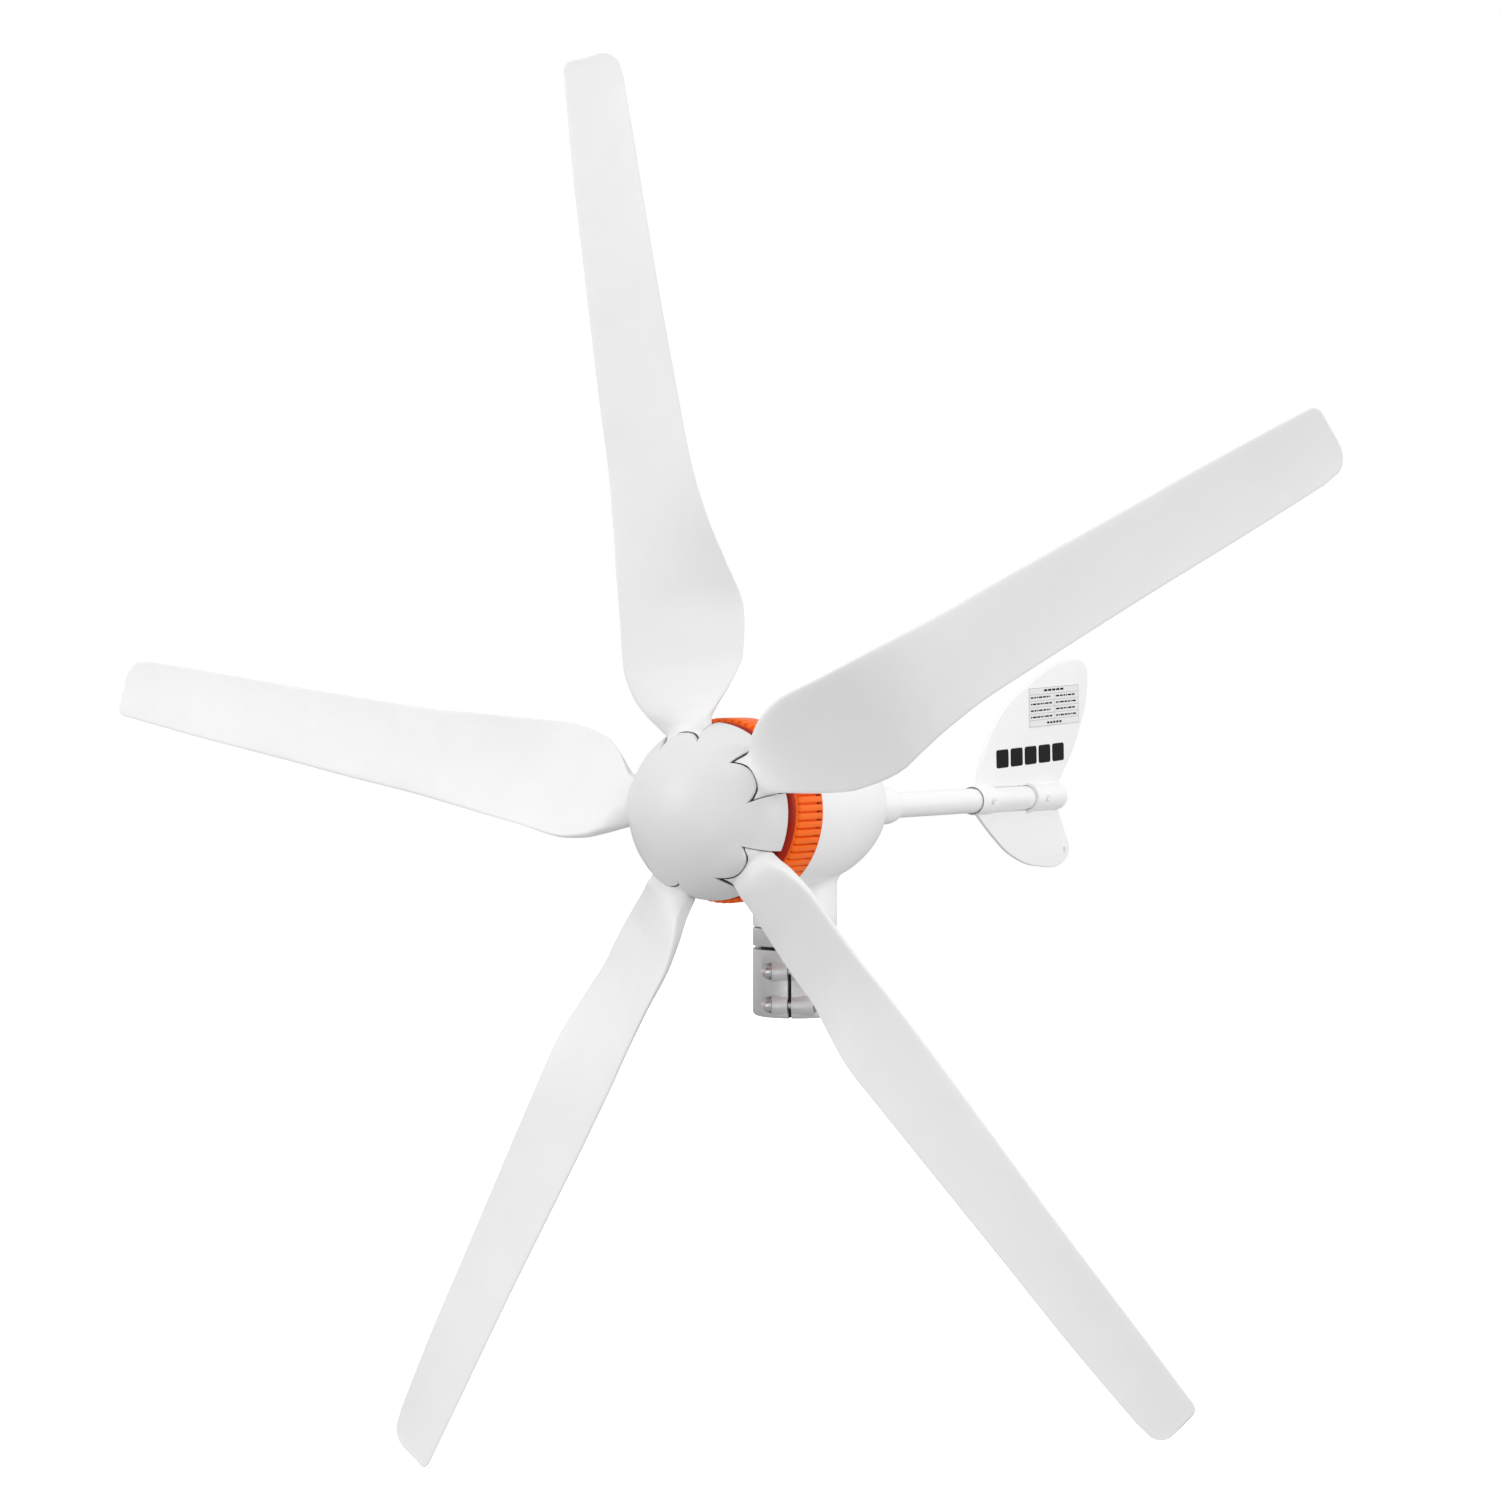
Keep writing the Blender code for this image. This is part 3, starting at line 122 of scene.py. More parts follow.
# Inner and outer radius and foot, of the slit's cutter and of the dark strip in the slit, which
# paints the shade down the slit.
SLIT_CUT = (0.0200, 0.0420, -0.003)
SLIT_SHADE_SPAN = (0.0256, 0.0276, 0.0008)
SLIT_SHADE_WIDTH = 0.9 * SLIT_WIDTH
LUG_RADIUS = 0.0084
LUG_EASE = 0.0004
LUG_LINE = 0.0293
BOLT_LINE = 0.0312
LUG_LEFT = -0.0145
LUG_RIGHT = 0.0200
LUG_HEIGHTS = {"lower": 0.0110, "upper": 0.0380}
POCKET_RADIUS = 0.0068
HEAD_POCKET = 0.0135
NUT_POCKET = 0.0120
POCKET_SINK = 0.0005
BOLT_BORE = 0.0032
CLAMP_EDGE = 0.00045
NECK_BOTTOM = 0.0730
NECK_FILLET = 0.0060
NECK_BORE = 0.0278
NECK_TOP = 0.1152
# Foot of the neck: how far inside the clamp's radius, and the height above its lower end.
NECK_FOOT = ((-0.006, 0.0), (-0.0009, 0.0), (-0.0003, 0.0002),
             (0.0, 0.0008), (0.0, 0.012), (0.0, 0.024))

# Cap screws: head radius and height, shank radius and length, and the socket's corner radius.
CLAMP_SCREW = (0.0050, 0.0055, 0.0029, 0.0400, 0.0026)
COVER_SCREW = (0.0038, 0.0025, 0.0020, 0.1000, 0.0018)
SLEEVE_SCREW = (0.0033, 0.0018, 0.0018, 0.0060, 0.0014)
COLLAR_SCREW = (0.0040, 0.0026, 0.0024, 0.0080, 0.0020)
SCREW_SINK = 0.0002
CLAMP_NUT_CORNER = 0.0052
CLAMP_NUT_BORE = 0.0030
CLAMP_NUT_END = 0.0046
COVER_SCREW_CIRCLE = 0.0585
SLEEVE_SCREW_PLACES = {"front": 0.3110, "rear": 0.4140}
SLEEVE_SCREW_FACE = 0.0126
COLLAR_SCREW_PLACE = 0.126
COLLAR_SCREW_FACE = 0.0160

BOOM_HEIGHT = 0.1665
BOOM_RADIUS = 0.0110
BOOM_BORE = 0.0094
BOOM_SPAN = (0.0745, 0.4485)
COLLAR_BORE = BOOM_RADIUS + 0.0002
# Collar profile: radius, distance behind the yaw axis, and how much the corner is rounded.
COLLAR_PROFILE = (
    (COLLAR_BORE, 0.1530, 0.0),
    (0.0122, 0.1530, 0.0005),
    (0.0142, 0.1510, 0.0020),
    (0.0157, 0.1450, 0.0040),
    (0.0159, 0.1380, 0.0040),
    (0.0163, 0.1180, 0.0080),
    (0.0176, 0.1050, 0.0060),
    (0.0200, 0.0990, 0.0030),
    (0.0232, 0.0962, 0.0004),
    (0.0200, 0.0900, 0.0),
    (COLLAR_BORE, 0.0900, 0.0),
)

FIN_THICKNESS = 0.0036
FIN_EDGE = 0.0011
FIN_GAP = 0.0003
UPPER_SEAT = BOOM_HEIGHT + BOOM_RADIUS + FIN_GAP
LOWER_SEAT = BOOM_HEIGHT - BOOM_RADIUS - FIN_GAP
# Fin outlines: distance behind the yaw axis and height. The first and last points are corners.
UPPER_FIN = (
    (0.3010, UPPER_SEAT), (0.3080, 0.1990), (0.3390, 0.2380), (0.3930, 0.2680), (0.4780, 0.2930),
    (0.5100, 0.2880), (0.5140, 0.2710), (0.4950, 0.2240), (0.4550, UPPER_SEAT),
)
LOWER_FIN = (
    (0.4540, LOWER_SEAT), (0.4685, 0.1330), (0.4775, 0.1160), (0.4690, 0.1062), (0.4190, 0.1024),
    (0.3650, 0.1150), (0.3340, 0.1315), (0.2990, LOWER_SEAT),
)
HANG_HOLE = (0.467, 0.1155)
HANG_HOLE_RADIUS = 0.0030
HANG_HOLE_REACH = 0.010

SLEEVE_RADIUS = 0.0128
SLEEVE_BORE = 0.0113
SLEEVE_LIP = 0.0014
SLEEVE_DOME = 0.0090
FRONT_SLEEVE = (0.2990, 0.3240)
REAR_SLEEVE = (0.3940, 0.4500)

LABEL_CENTRE = (0.0, 0.446, 0.2505)
LABEL_TILT = math.radians(2.5)
LABEL_HALF_Y = 0.0490
LABEL_HALF_Z = 0.0180
LABEL_THICKNESS = 0.0005
LABEL_ROWS = 6
RULE_WIDTH = 0.00032
INK_HEIGHT = 0.0001
INK_ROUNDING = 0.0004
BLOCK_START = -0.1124
BLOCK_PITCH = 0.0268
BLOCK_WIDTH = 0.0228
BLOCK_LOW = -0.0515
BLOCK_HIGH = -0.0350
BLOCK_ROUNDING = 0.0030

# Blade sections, as fractions of the tip radius: distance from the axis, the leading edge's
# sideways place and depth, the trailing edge's, the thickness, how square the section is,
# and how far its front is crowned.
BLADE_SECTIONS = (
    (0.0433, -0.0275, 0.0474, 0.0275, 0.0474, 0.0157, 1.0, 0.0),
    (0.0800, -0.0275, 0.0474, 0.0275, 0.0474, 0.0157, 1.0, 0.0),
    (0.0815, -0.0270, 0.0312, 0.0270, 0.0312, 0.0486, 1.00, 0.0037),
    (0.0917, -0.0300, 0.0368, 0.0272, 0.0363, 0.0380, 1.00, 0.0050),
    (0.1033, -0.0350, 0.0480, 0.0277, 0.0448, 0.0220, 1.00, 0.0085),
    (0.1100, -0.0390, 0.0445, 0.0280, 0.0460, 0.0240, 1.00, 0.0060),
    (0.1190, -0.0432, 0.0350, 0.0300, 0.0470, 0.0240, 0.90, 0.0020),
    (0.1330, -0.0500, 0.0220, 0.0362, 0.0560, 0.0225, 0.75, 0.0000),
    (0.1600, -0.0610, 0.0115, 0.0510, 0.0730, 0.0190, 0.45, 0.0000),
    (0.2000, -0.0672, 0.0065, 0.0668, 0.0900, 0.0155, 0.15, 0.0000),
    (0.2600, -0.0627, 0.0060, 0.0740, 0.0940, 0.0140, 0.0, 0.0),
    (0.3200, -0.0601, 0.0070, 0.0710, 0.0700, 0.0130, 0.0, 0.0),
    (0.3800, -0.0577, 0.0110, 0.0675, 0.0450, 0.0120, 0.0, 0.0),
    (0.4500, -0.0545, 0.0120, 0.0620, 0.0330, 0.0115, 0.0, 0.0),
    (0.5500, -0.0517, 0.0080, 0.0587, 0.0270, 0.0105, 0.0, 0.0),
    (0.7000, -0.0461, 0.0030, 0.0545, 0.0200, 0.0090, 0.0, 0.0),
    (0.8500, -0.0416, 0.0000, 0.0517, 0.0150, 0.0075, 0.0, 0.0),
    (1.0000, -0.0350, 0.0000, 0.0460, 0.0140, 0.0060, 0.0, 0.0),
)
TIP_LEADING_CORNER = 0.007
TIP_TRAILING_CORNER = 0.018
TIP_ROUNDING = 0.0016
BLADE_EDGE_SHARE = 0.012
BLADE_CAMBER = 0.035
BLADE_FRONT_SHARE = 0.55

FLOOR_SIZE = 14.0
FLOOR_HEIGHT = -0.80
LIGHT_TARGET = (0.0, -0.05, 0.15)
# Area lights: place, size and power.
LIGHTS = {
    "key": ((-1.7, -3.0, 1.2), 1.6, 31.0),
    "overhead": ((0.2, -0.6, 3.0), 2.5, 14.0),
    "side": ((3.0, 0.9, 0.7), 1.8, 30.0),
    "front": ((2.2, -2.6, 0.2), 1.6, 4.0),
    "low": ((0.5, -3.0, -0.4), 0.7, 6.0),
}
SURROUND_LIGHT = 0.84
CAMERA_PLACE = (1.42372, -2.24677, 0.26505)
CAMERA_PITCH = -1.0527
CAMERA_HEADING = 33.1516
CAMERA_LENS = 78.40

WHITE = (0.90, 0.90, 0.90)
BLADE_WHITE = (0.82, 0.82, 0.82)
NOSE_WHITE = (0.72, 0.72, 0.72)
ORANGE = (1.00, 0.160, 0.012)
# Dark red painted into the cover's face and shoulder, standing in for the shade the nose cone casts
# there.
PAINTED_SHADE_ORANGE = (0.36, 0.015, 0.002)
CAST_SILVER = (0.62, 0.62, 0.63)
BOLT_SILVER = (0.56, 0.56, 0.57)
GROUND_STEEL = (0.50, 0.50, 0.52)
HUB_GREY = (0.60, 0.60, 0.61)
LAMINATION = (0.26, 0.26, 0.27)
VARNISHED_COPPER = (0.42, 0.13, 0.05)
BRASS = (0.78, 0.56, 0.22)
BLACK = (0.022, 0.022, 0.024)
INK = (0.006, 0.006, 0.007)
FAINT_INK = (0.32, 0.32, 0.33)
PAPER = (0.80, 0.80, 0.80)
FLOOR_GREY = (0.43, 0.43, 0.43)
PURE_WHITE = (1.0, 1.0, 1.0, 1.0)


# ------------------------ materials
def node_of(tree, kind, **values):
    """Add a node and set its input sockets by name."""
    made = tree.nodes.new(kind)
    for name, value in values.items():
        made.inputs[name.replace("_", " ")].default_value = value
    return made


def spread(tree, source, low, high):
    """Map a noise value onto low to high."""
    made = node_of(tree, "ShaderNodeMapRange", From_Min=0.30, From_Max=0.70, To_Min=low, To_Max=high)
    tree.links.new(source, made.inputs["Value"])
    return made.outputs["Result"]


def paint_shade_band(tree, place, shade, color, start, end):
    """Painted shade: blend from a dark second colour to the first between two places along Y."""
    axes = tree.nodes.new("ShaderNodeSeparateXYZ")
    tree.links.new(place.outputs["Object"], axes.inputs["Vector"])
    ramp = node_of(tree, "ShaderNodeMapRange", From_Min=start, From_Max=end, To_Min=0.0, To_Max=1.0)
    tree.links.new(axes.outputs["Y"], ramp.inputs["Value"])
    blend = tree.nodes.new("ShaderNodeMix")
    blend.data_type = "RGBA"
    blend.inputs["A"].default_value = (*color, 1.0)
    tree.links.new(ramp.outputs["Result"], blend.inputs["Factor"])
    tree.links.new(shade, blend.inputs["B"])
    return blend.outputs["Result"]


def surface(name, color, roughness, metallic=0.0, mottle=0.03, mottle_scale=14.0, uneven=0.06,
            grain=0.35, grain_scale=1500.0, grain_height=0.00002, stretch=(1.0, 1.0, 1.0),
            coat=0.0, specular=0.5, painted_shade=None):
    """A finish with mottled colour, uneven gloss and a fine grain, all in the piece's own space.

    The last argument, if given, holds a dark colour of painted shade, and the two places along Y
    between which it gives way to the first.
    """
    made = bpy.data.materials.new(name)
    made.use_nodes = True
    tree = made.node_tree
    link = tree.links.new
    shader = tree.nodes["Principled BSDF"]
    shader.inputs["Metallic"].default_value = metallic
    shader.inputs["Specular IOR Level"].default_value = specular
    shader.inputs["Coat Weight"].default_value = coat
    shader.inputs["Coat Roughness"].default_value = 0.12
    place = tree.nodes.new("ShaderNodeTexCoord")
    broad = node_of(tree, "ShaderNodeTexNoise", Scale=mottle_scale, Detail=5.0, Roughness=0.6)
    link(place.outputs["Object"], broad.inputs["Vector"])
    mix = tree.nodes.new("ShaderNodeMix")
    mix.data_type = "RGBA"
    mix.inputs["A"].default_value = (*[c * (1.0 - mottle) for c in color], 1.0)
    mix.inputs["B"].default_value = (*[min(c * (1.0 + mottle), 1.0) for c in color], 1.0)
    link(spread(tree, broad.outputs["Fac"], 0.0, 1.0), mix.inputs["Factor"])
    shade = mix.outputs["Result"]
    # Painted shade, where asked for: a dark band blended in along Y.
    if painted_shade is not None:
        shade = paint_shade_band(tree, place, shade, *painted_shade)
    link(shade, shader.inputs["Base Color"])
    patch = node_of(tree, "ShaderNodeTexNoise", Scale=mottle_scale * 6.0, Detail=4.0, Roughness=0.55)
    link(place.outputs["Object"], patch.inputs["Vector"])
    rough = spread(tree, patch.outputs["Fac"], max(roughness - uneven, 0.02), roughness + uneven)
    link(rough, shader.inputs["Roughness"])
    pull = node_of(tree, "ShaderNodeMapping", Scale=stretch)
    link(place.outputs["Object"], pull.inputs["Vector"])
    fine = node_of(tree, "ShaderNodeTexNoise", Scale=grain_scale, Detail=3.0, Roughness=0.6)
    link(pull.outputs["Vector"], fine.inputs["Vector"])
    bump = node_of(tree, "ShaderNodeBump", Strength=grain, Distance=grain_height)
    link(fine.outputs["Fac"], bump.inputs["Height"])
    link(bump.outputs["Normal"], shader.inputs["Normal"])
    made.diffuse_color = (*color, 1.0)
    return made


TURNED_LINES = (0.03, 0.03, 1.0)
# Finish of each slot of the record, and of the print on the label: colour, roughness and the rest.
FINISH_TABLE = {
    "nacelle_paint": (WHITE, 0.34, dict(
        mottle=0.012, grain=0.30, grain_scale=900.0, grain_height=0.00003, coat=0.15)),
    "vane_plastic": (WHITE, 0.44, dict(mottle=0.015, grain=0.40, grain_scale=1400.0)),
    "blade_plastic": (BLADE_WHITE, 0.48, dict(
        mottle=0.028, mottle_scale=9.0, grain=0.50, grain_scale=1300.0, grain_height=0.00004)),
    "nose_plastic": (NOSE_WHITE, 0.40, dict(
        mottle=0.018, mottle_scale=16.0, grain=0.40, grain_scale=1300.0, grain_height=0.00003)),
    "cover_orange": (ORANGE, 0.40, dict(
        mottle=0.06, mottle_scale=40.0, grain=0.5, grain_scale=1100.0, grain_height=0.00004,
        specular=0.15,
        # Painted shade: in front of the ribs the cover darkens to deep red, standing in for the nose
        # cone's shadow.
        painted_shade=(PAINTED_SHADE_ORANGE, TIP_PLANE_Y + RIB_START - 0.0014, TIP_PLANE_Y + RIB_START + 0.0006))),
    "clamp_cast": (CAST_SILVER, 0.42, dict(
        metallic=0.50, mottle=0.06, mottle_scale=30.0, grain=0.55, grain_scale=2600.0,
        grain_height=0.000012, stretch=TURNED_LINES)),
    "bright_steel": (BOLT_SILVER, 0.28, dict(
        metallic=1.0, mottle=0.08, mottle_scale=120.0, grain=0.4, grain_scale=2500.0,
        grain_height=0.00001)),
    "turned_steel": (GROUND_STEEL, 0.24, dict(
        metallic=1.0, mottle=0.05, mottle_scale=80.0, grain=0.4, grain_scale=2600.0,
        grain_height=0.000008, stretch=TURNED_LINES)),
    "hub_aluminium": (HUB_GREY, 0.42, dict(
        metallic=1.0, mottle=0.07, mottle_scale=60.0, grain=0.6, grain_scale=900.0,
        grain_height=0.00004)),
    "core_steel": (LAMINATION, 0.45, dict(
        metallic=1.0, mottle=0.10, mottle_scale=90.0, grain=0.8, grain_height=0.00003,
        stretch=(0.03, 1.0, 0.03))),
    "winding_varnish": (VARNISHED_COPPER, 0.30, dict(
        mottle=0.20, mottle_scale=160.0, grain=0.8, grain_scale=900.0, grain_height=0.0001,
        coat=0.5)),
    "slip_ring_brass": (BRASS, 0.25, dict(
        metallic=1.0, mottle=0.06, mottle_scale=90.0, grain_scale=2400.0, stretch=TURNED_LINES)),
    "black_insulator": (BLACK, 0.50, dict(mottle=0.15, mottle_scale=70.0, grain=0.5)),
    "seal_rubber": (BLACK, 0.68, dict(
        mottle=0.20, mottle_scale=60.0, grain=0.7, grain_height=0.00005)),
    "label_film": (PAPER, 0.42, dict(mottle=0.015, mottle_scale=50.0, grain=0.2)),
    "ink": (INK, 0.60, dict(mottle=0.10, mottle_scale=80.0, grain=0.2, specular=0.12)),
    "faint_ink": (FAINT_INK, 0.40, dict(mottle=0.06, mottle_scale=80.0, grain=0.2)),
}
FINISHES = {name: surface(name, color, roughness, **rest)
            for name, (color, roughness, rest) in FINISH_TABLE.items()}


# ------------------------ mesh helpers
def soften(points, radii, steps=5, closed=False):
    """Round the corners of a profile; radii is one number, or one for each point."""
    points = [np.array(point, float) for point in points]
    count = len(points)
    if not hasattr(radii, "__len__"):
        radii = [radii] * count
    made = []
    for i, point in enumerate(points):
        inner = closed or 0 < i < count - 1
        if not inner or radii[i] <= 0.0:
            made.append(point)
            continue
        before = points[i - 1] - point
        after = points[(i + 1) % count] - point
        reach = min(radii[i], 0.49 * np.linalg.norm(before), 0.49 * np.linalg.norm(after))
        start = point + before / np.linalg.norm(before) * reach
        end = point + after / np.linalg.norm(after) * reach
        for step in range(steps + 1):
            t = step / steps
            made.append((1 - t) ** 2 * start + 2 * t * (1 - t) * point + t * t * end)
    return [tuple(point) for point in made]


def skin(rings, loop=False, capped=True):
    """Faces over rings of points; loop joins the last ring to the first."""
    count = len(rings[0])
    vertices = [tuple(point) for ring in rings for point in ring]
    faces = []
    pairs = list(zip(range(len(rings) - 1), range(1, len(rings))))
    if loop:
        pairs.append((len(rings) - 1, 0))
    for low, high in pairs:
        for i in range(count):
            after = (i + 1) % count
            faces.append((low * count + i, low * count + after,
                          high * count + after, high * count + i))
    if capped and not loop:
        faces.append(tuple(range(count))[::-1])
        faces.append(tuple(range((len(rings) - 1) * count, len(rings) * count)))
    return vertices, faces


def polar(radius, angle, height):
    """Point at a radius, an angle and a height."""
    return Vector((radius * math.cos(angle), radius * math.sin(angle), height))


def turned(profile, place, sides=96, loop=False, reach=None):
    """Turn (radius, height) points about a frame's Z; reach may change the radius by angle."""
    angles = np.linspace(0.0, math.tau, sides, endpoint=False)
    rings = []
    for radius, height in profile:
        ring = []
        for angle in angles:
            r = radius if reach is None else reach(angle, radius, height)
            ring.append(place @ polar(r, angle, height))
        rings.append(ring)
    return skin(rings, loop=loop, capped=False)


def rod(radius, start, end):
    """Profile of a plain round rod."""
    return [(0.0, start), (radius, start), (radius, end), (0.0, end)]


def show(made):
    """Put an object in the scene."""
    bpy.context.scene.collection.objects.link(made)


def mesh_object(name, parts, sharp=32.0):
    """One object from parts of (vertices, faces), smooth except along edges over the sharp angle."""
    shape = bmesh.new()
    for vertices, faces in parts:
        made = [shape.verts.new(point) for point in vertices]
        for face in faces:
            shape.faces.new([made[i] for i in face])
    bmesh.ops.remove_doubles(shape, verts=shape.verts, dist=0.0000008)
    bmesh.ops.recalc_face_normals(shape, faces=shape.faces)
    mesh = bpy.data.meshes.new(name)
    shape.to_mesh(mesh)
    shape.free()
    piece = bpy.data.objects.new(name, mesh)
    show(piece)
    crease(piece, sharp)
    return piece


def crease(piece, sharp):
    """Smooth shading, split along edges that turn more than the sharp angle."""
    shape = bmesh.new()
    shape.from_mesh(piece.data)
    for face in shape.faces:
        face.smooth = True
    for edge in shape.edges:
        hard = len(edge.link_faces) == 2 and edge.calc_face_angle(0.0) > math.radians(sharp)
        edge.smooth = not hard
    shape.to_mesh(piece.data)
    shape.free()


def settle(piece):
    """Apply a piece's modifiers to its mesh."""
    graph = bpy.context.evaluated_depsgraph_get()
    mesh = bpy.data.meshes.new_from_object(piece.evaluated_get(graph))
    piece.modifiers.clear()
    piece.data = mesh


def combine(piece, others, operation):
    """Join solids to a piece, or cut them from it, and drop them."""
    for other in others:
        step = piece.modifiers.new(other.name, "BOOLEAN")
        step.operation = operation
        step.solver = "EXACT"
        step.object = other
    settle(piece)
    for other in others:
        bpy.data.objects.remove(other, do_unlink=True)


def round_edges(piece, width, segments=2, angle=35.0, sharp=40.0):
    """Small rounded edges where faces meet at more than the angle."""
    weld = piece.modifiers.new("weld", "WELD")
    weld.merge_threshold = 0.000008
    step = piece.modifiers.new("edges", "BEVEL")
    step.width = width
    step.segments = segments
    step.limit_method = "ANGLE"
    step.angle_limit = math.radians(angle)
    step.use_clamp_overlap = True
    settle(piece)
    crease(piece, sharp)


def fit(piece, body, slot, *nodes, look=None):
    """Give a piece its finish, chosen by the look or else the slot, its body, and hide the CAD nodes
    it stands for.
    """
    piece.data.materials.clear()
    piece.data.materials.append(FINISHES[look or slot])
    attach(piece, body)
    if nodes:
        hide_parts(*nodes)
    return piece


def smooth_step(value):
    """0 below 0, 1 above 1, and smooth between."""
    t = min(max(value, 0.0), 1.0)
    return t * t * (3.0 - 2.0 * t)


FORWARD = Matrix.Rotation(math.radians(-90.0), 4, "X")
ROTOR = Matrix.Translation((0.0, TIP_PLANE_Y, HUB_HEIGHT)) @ FORWARD
BOOM = Matrix.Translation((0.0, 0.0, BOOM_HEIGHT)) @ FORWARD
CLAMP = Matrix.Rotation(math.radians(CLAMP_TURN), 4, "Z")
SIDEWAYS = Matrix.Rotation(math.radians(90.0), 4, "Y")
TURN_OVER = Matrix.Rotation(math.pi, 4, "X")


def blade_turn(number):
    """Angle of one blade about the rotor axis."""
    return math.radians(FIRST_BLADE_ANGLE + BLADE_STEP * number)


def blade_frame(number):
    """Frame of one blade: X sideways, -Y outwards, Z depth."""
    return ROTOR @ Matrix.Rotation(blade_turn(number), 4, "Z")


# ------------------------ blades
def smooth_value(places, values, place):
    """Cubic through the values, with slopes that never overshoot."""
    steps = np.diff(places)
    rises = np.diff(values) / steps
    slopes = np.zeros(len(values))
    slopes[0] = rises[0]
    slopes[-1] = rises[-1]
    for i in range(1, len(values) - 1):
        if rises[i - 1] * rises[i] > 0:
            slopes[i] = 2 * rises[i - 1] * rises[i] / (rises[i - 1] + rises[i])
    i = int(np.clip(np.searchsorted(places, place) - 1, 0, len(steps) - 1))
    t = (place - places[i]) / steps[i]
    start = (2 * t ** 3 - 3 * t ** 2 + 1) * values[i]
    start += (t ** 3 - 2 * t ** 2 + t) * steps[i] * slopes[i]
    end = (3 * t ** 2 - 2 * t ** 3) * values[i + 1]
    end += (t ** 3 - t ** 2) * steps[i] * slopes[i + 1]
    return start + end


def corner_cut(radius, corner):
    """How far a rounded tip corner pulls an edge in at this radius."""
    depth = radius - (TIP_RADIUS - corner)
    if depth <= 0.0:
        return 0.0
    return corner - math.sqrt(max(corner * corner - depth * depth, 0.0))


def blade_section(radius, side_points=22):
    """Points round one section: sideways place and depth, front side first."""
    table = np.array(BLADE_SECTIONS)
    share = radius / TIP_RADIUS
    lead_x, lead_z, trail_x, trail_z, thick, square, crown = (
        smooth_value(table[:, 0], table[:, column], share) for column in range(1, 8))
    lead = np.array((lead_x, lead_z)) * TIP_RADIUS
    trail = np.array((trail_x, trail_z)) * TIP_RADIUS
    chord = trail - lead
    length = float(np.hypot(*chord))
    along = chord / length
    front = np.array((along[1], -along[0]))
    lead_cut = corner_cut(radius, TIP_LEADING_CORNER)
    trail_cut = corner_cut(radius, TIP_TRAILING_CORNER)
    lead = lead + along * lead_cut
    length = length - lead_cut - trail_cut
    over = max(radius - (TIP_RADIUS - TIP_ROUNDING), 0.0) / TIP_ROUNDING
    thinning = math.sqrt(max(1.0 - over * over, 0.0004))
    front_side = []
    back_side = []
    for step in range(1, side_points):
        u = 0.5 - 0.5 * math.cos(math.pi * step / side_points)
        edge = (math.sqrt(min(1.0, u / BLADE_EDGE_SHARE))
                * math.sqrt(min(1.0, (1.0 - u) / BLADE_EDGE_SHARE)))
        airfoil = 0.5 * thick * (2.6 * math.sqrt(u) * (1.0 - u) + 0.20 * edge)
        slab = 0.5 * thick * (1.0 - abs(2 * u - 1) ** 7) ** (1 / 7)
        half = TIP_RADIUS * (airfoil * (1.0 - square) + slab * square) * thinning
        arch = BLADE_CAMBER * length * (1.0 - square) * 4 * u * (1.0 - u)
        bulge = TIP_RADIUS * crown * 4 * u * (1.0 - u)
        spot = lead + along * (u * length) - front * arch
        front_share = BLADE_FRONT_SHARE + (1.0 - BLADE_FRONT_SHARE) * square
        front_side.append(spot + front * (half * front_share + bulge))
        back_side.append(spot - front * half)
    return [lead] + front_side + [lead + along * length] + back_side[::-1]


def blade_radii():
    """Places of the sections, close together at the root and the tip."""
    root = [share * TIP_RADIUS for share in (0.0433, 0.0600, 0.0800, 0.0808, 0.0815)]
    neck = list(np.linspace(0.0835, 0.2, 34) * TIP_RADIUS)
    span = list(np.linspace(0.21, 0.96, 44) * TIP_RADIUS)
    tip = [TIP_RADIUS - TIP_TRAILING_CORNER * (1.0 - math.sin(t))
           for t in np.linspace(0.45, 1.571, 16)]
    return root + neck + span + [radius for radius in tip if radius > span[-1] + 0.001]


def make_blades():
    """Five blades: a root that follows the nose cone, then a twisted, arched blade."""
    radii = blade_radii()
    sections = [blade_section(radius) for radius in radii]
    wide = GROOVE_HALF_WIDTH
    groove = tongue_arc(SEAM_GAP) + [(wide, -GROOVE_OUTER), (wide, -GROOVE_INNER),
                                     (-wide, -GROOVE_INNER), (-wide, -GROOVE_OUTER)]
    for number in range(BLADE_COUNT):
        place = blade_frame(number)
        rings = [[place @ Vector((x, -radius, z)) for x, z in section]
                 for radius, section in zip(radii, sections)]
        name = "blade_%d" % (number + 1)
        piece = mesh_object("moulded_" + name, [skin(rings)], sharp=50.0)
        steps = [[place @ Vector((x, y, depth)) for x, y in groove] for depth in GROOVE_DEPTHS]
        combine(piece, [mesh_object("groove", [skin(steps)])], "DIFFERENCE")
        crease(piece, 50.0)
        fit(piece, "rotor", "blade_plastic", name)


# ------------------------ nose cone
def tongue_arc(gap=0.0):
    """Half-round end of a tongue in its blade's frame, moved outwards by a gap."""
    half = TONGUE_HALF_WIDTH
    bulge = TONGUE_TIP - TONGUE_ROOT
    sweep = (half * half + bulge * bulge) / (2 * bulge)
    reach = math.asin(half / sweep)
    turns = np.linspace(-reach, reach, 25)
    far = sweep + gap
    return [(far * math.sin(t), sweep - TONGUE_TIP - far * math.cos(t)) for t in turns]


def dome_depth(radius, shrink=0.0):
    """Depth of the dome's surface at a distance from the axis."""
    share = min(radius / (NOSE_RADIUS - shrink), 1.0)
    return NOSE_RIM_DEPTH - (NOSE_RIM_DEPTH - NOSE_DEPTH - shrink) * math.sqrt(1.0 - share * share)


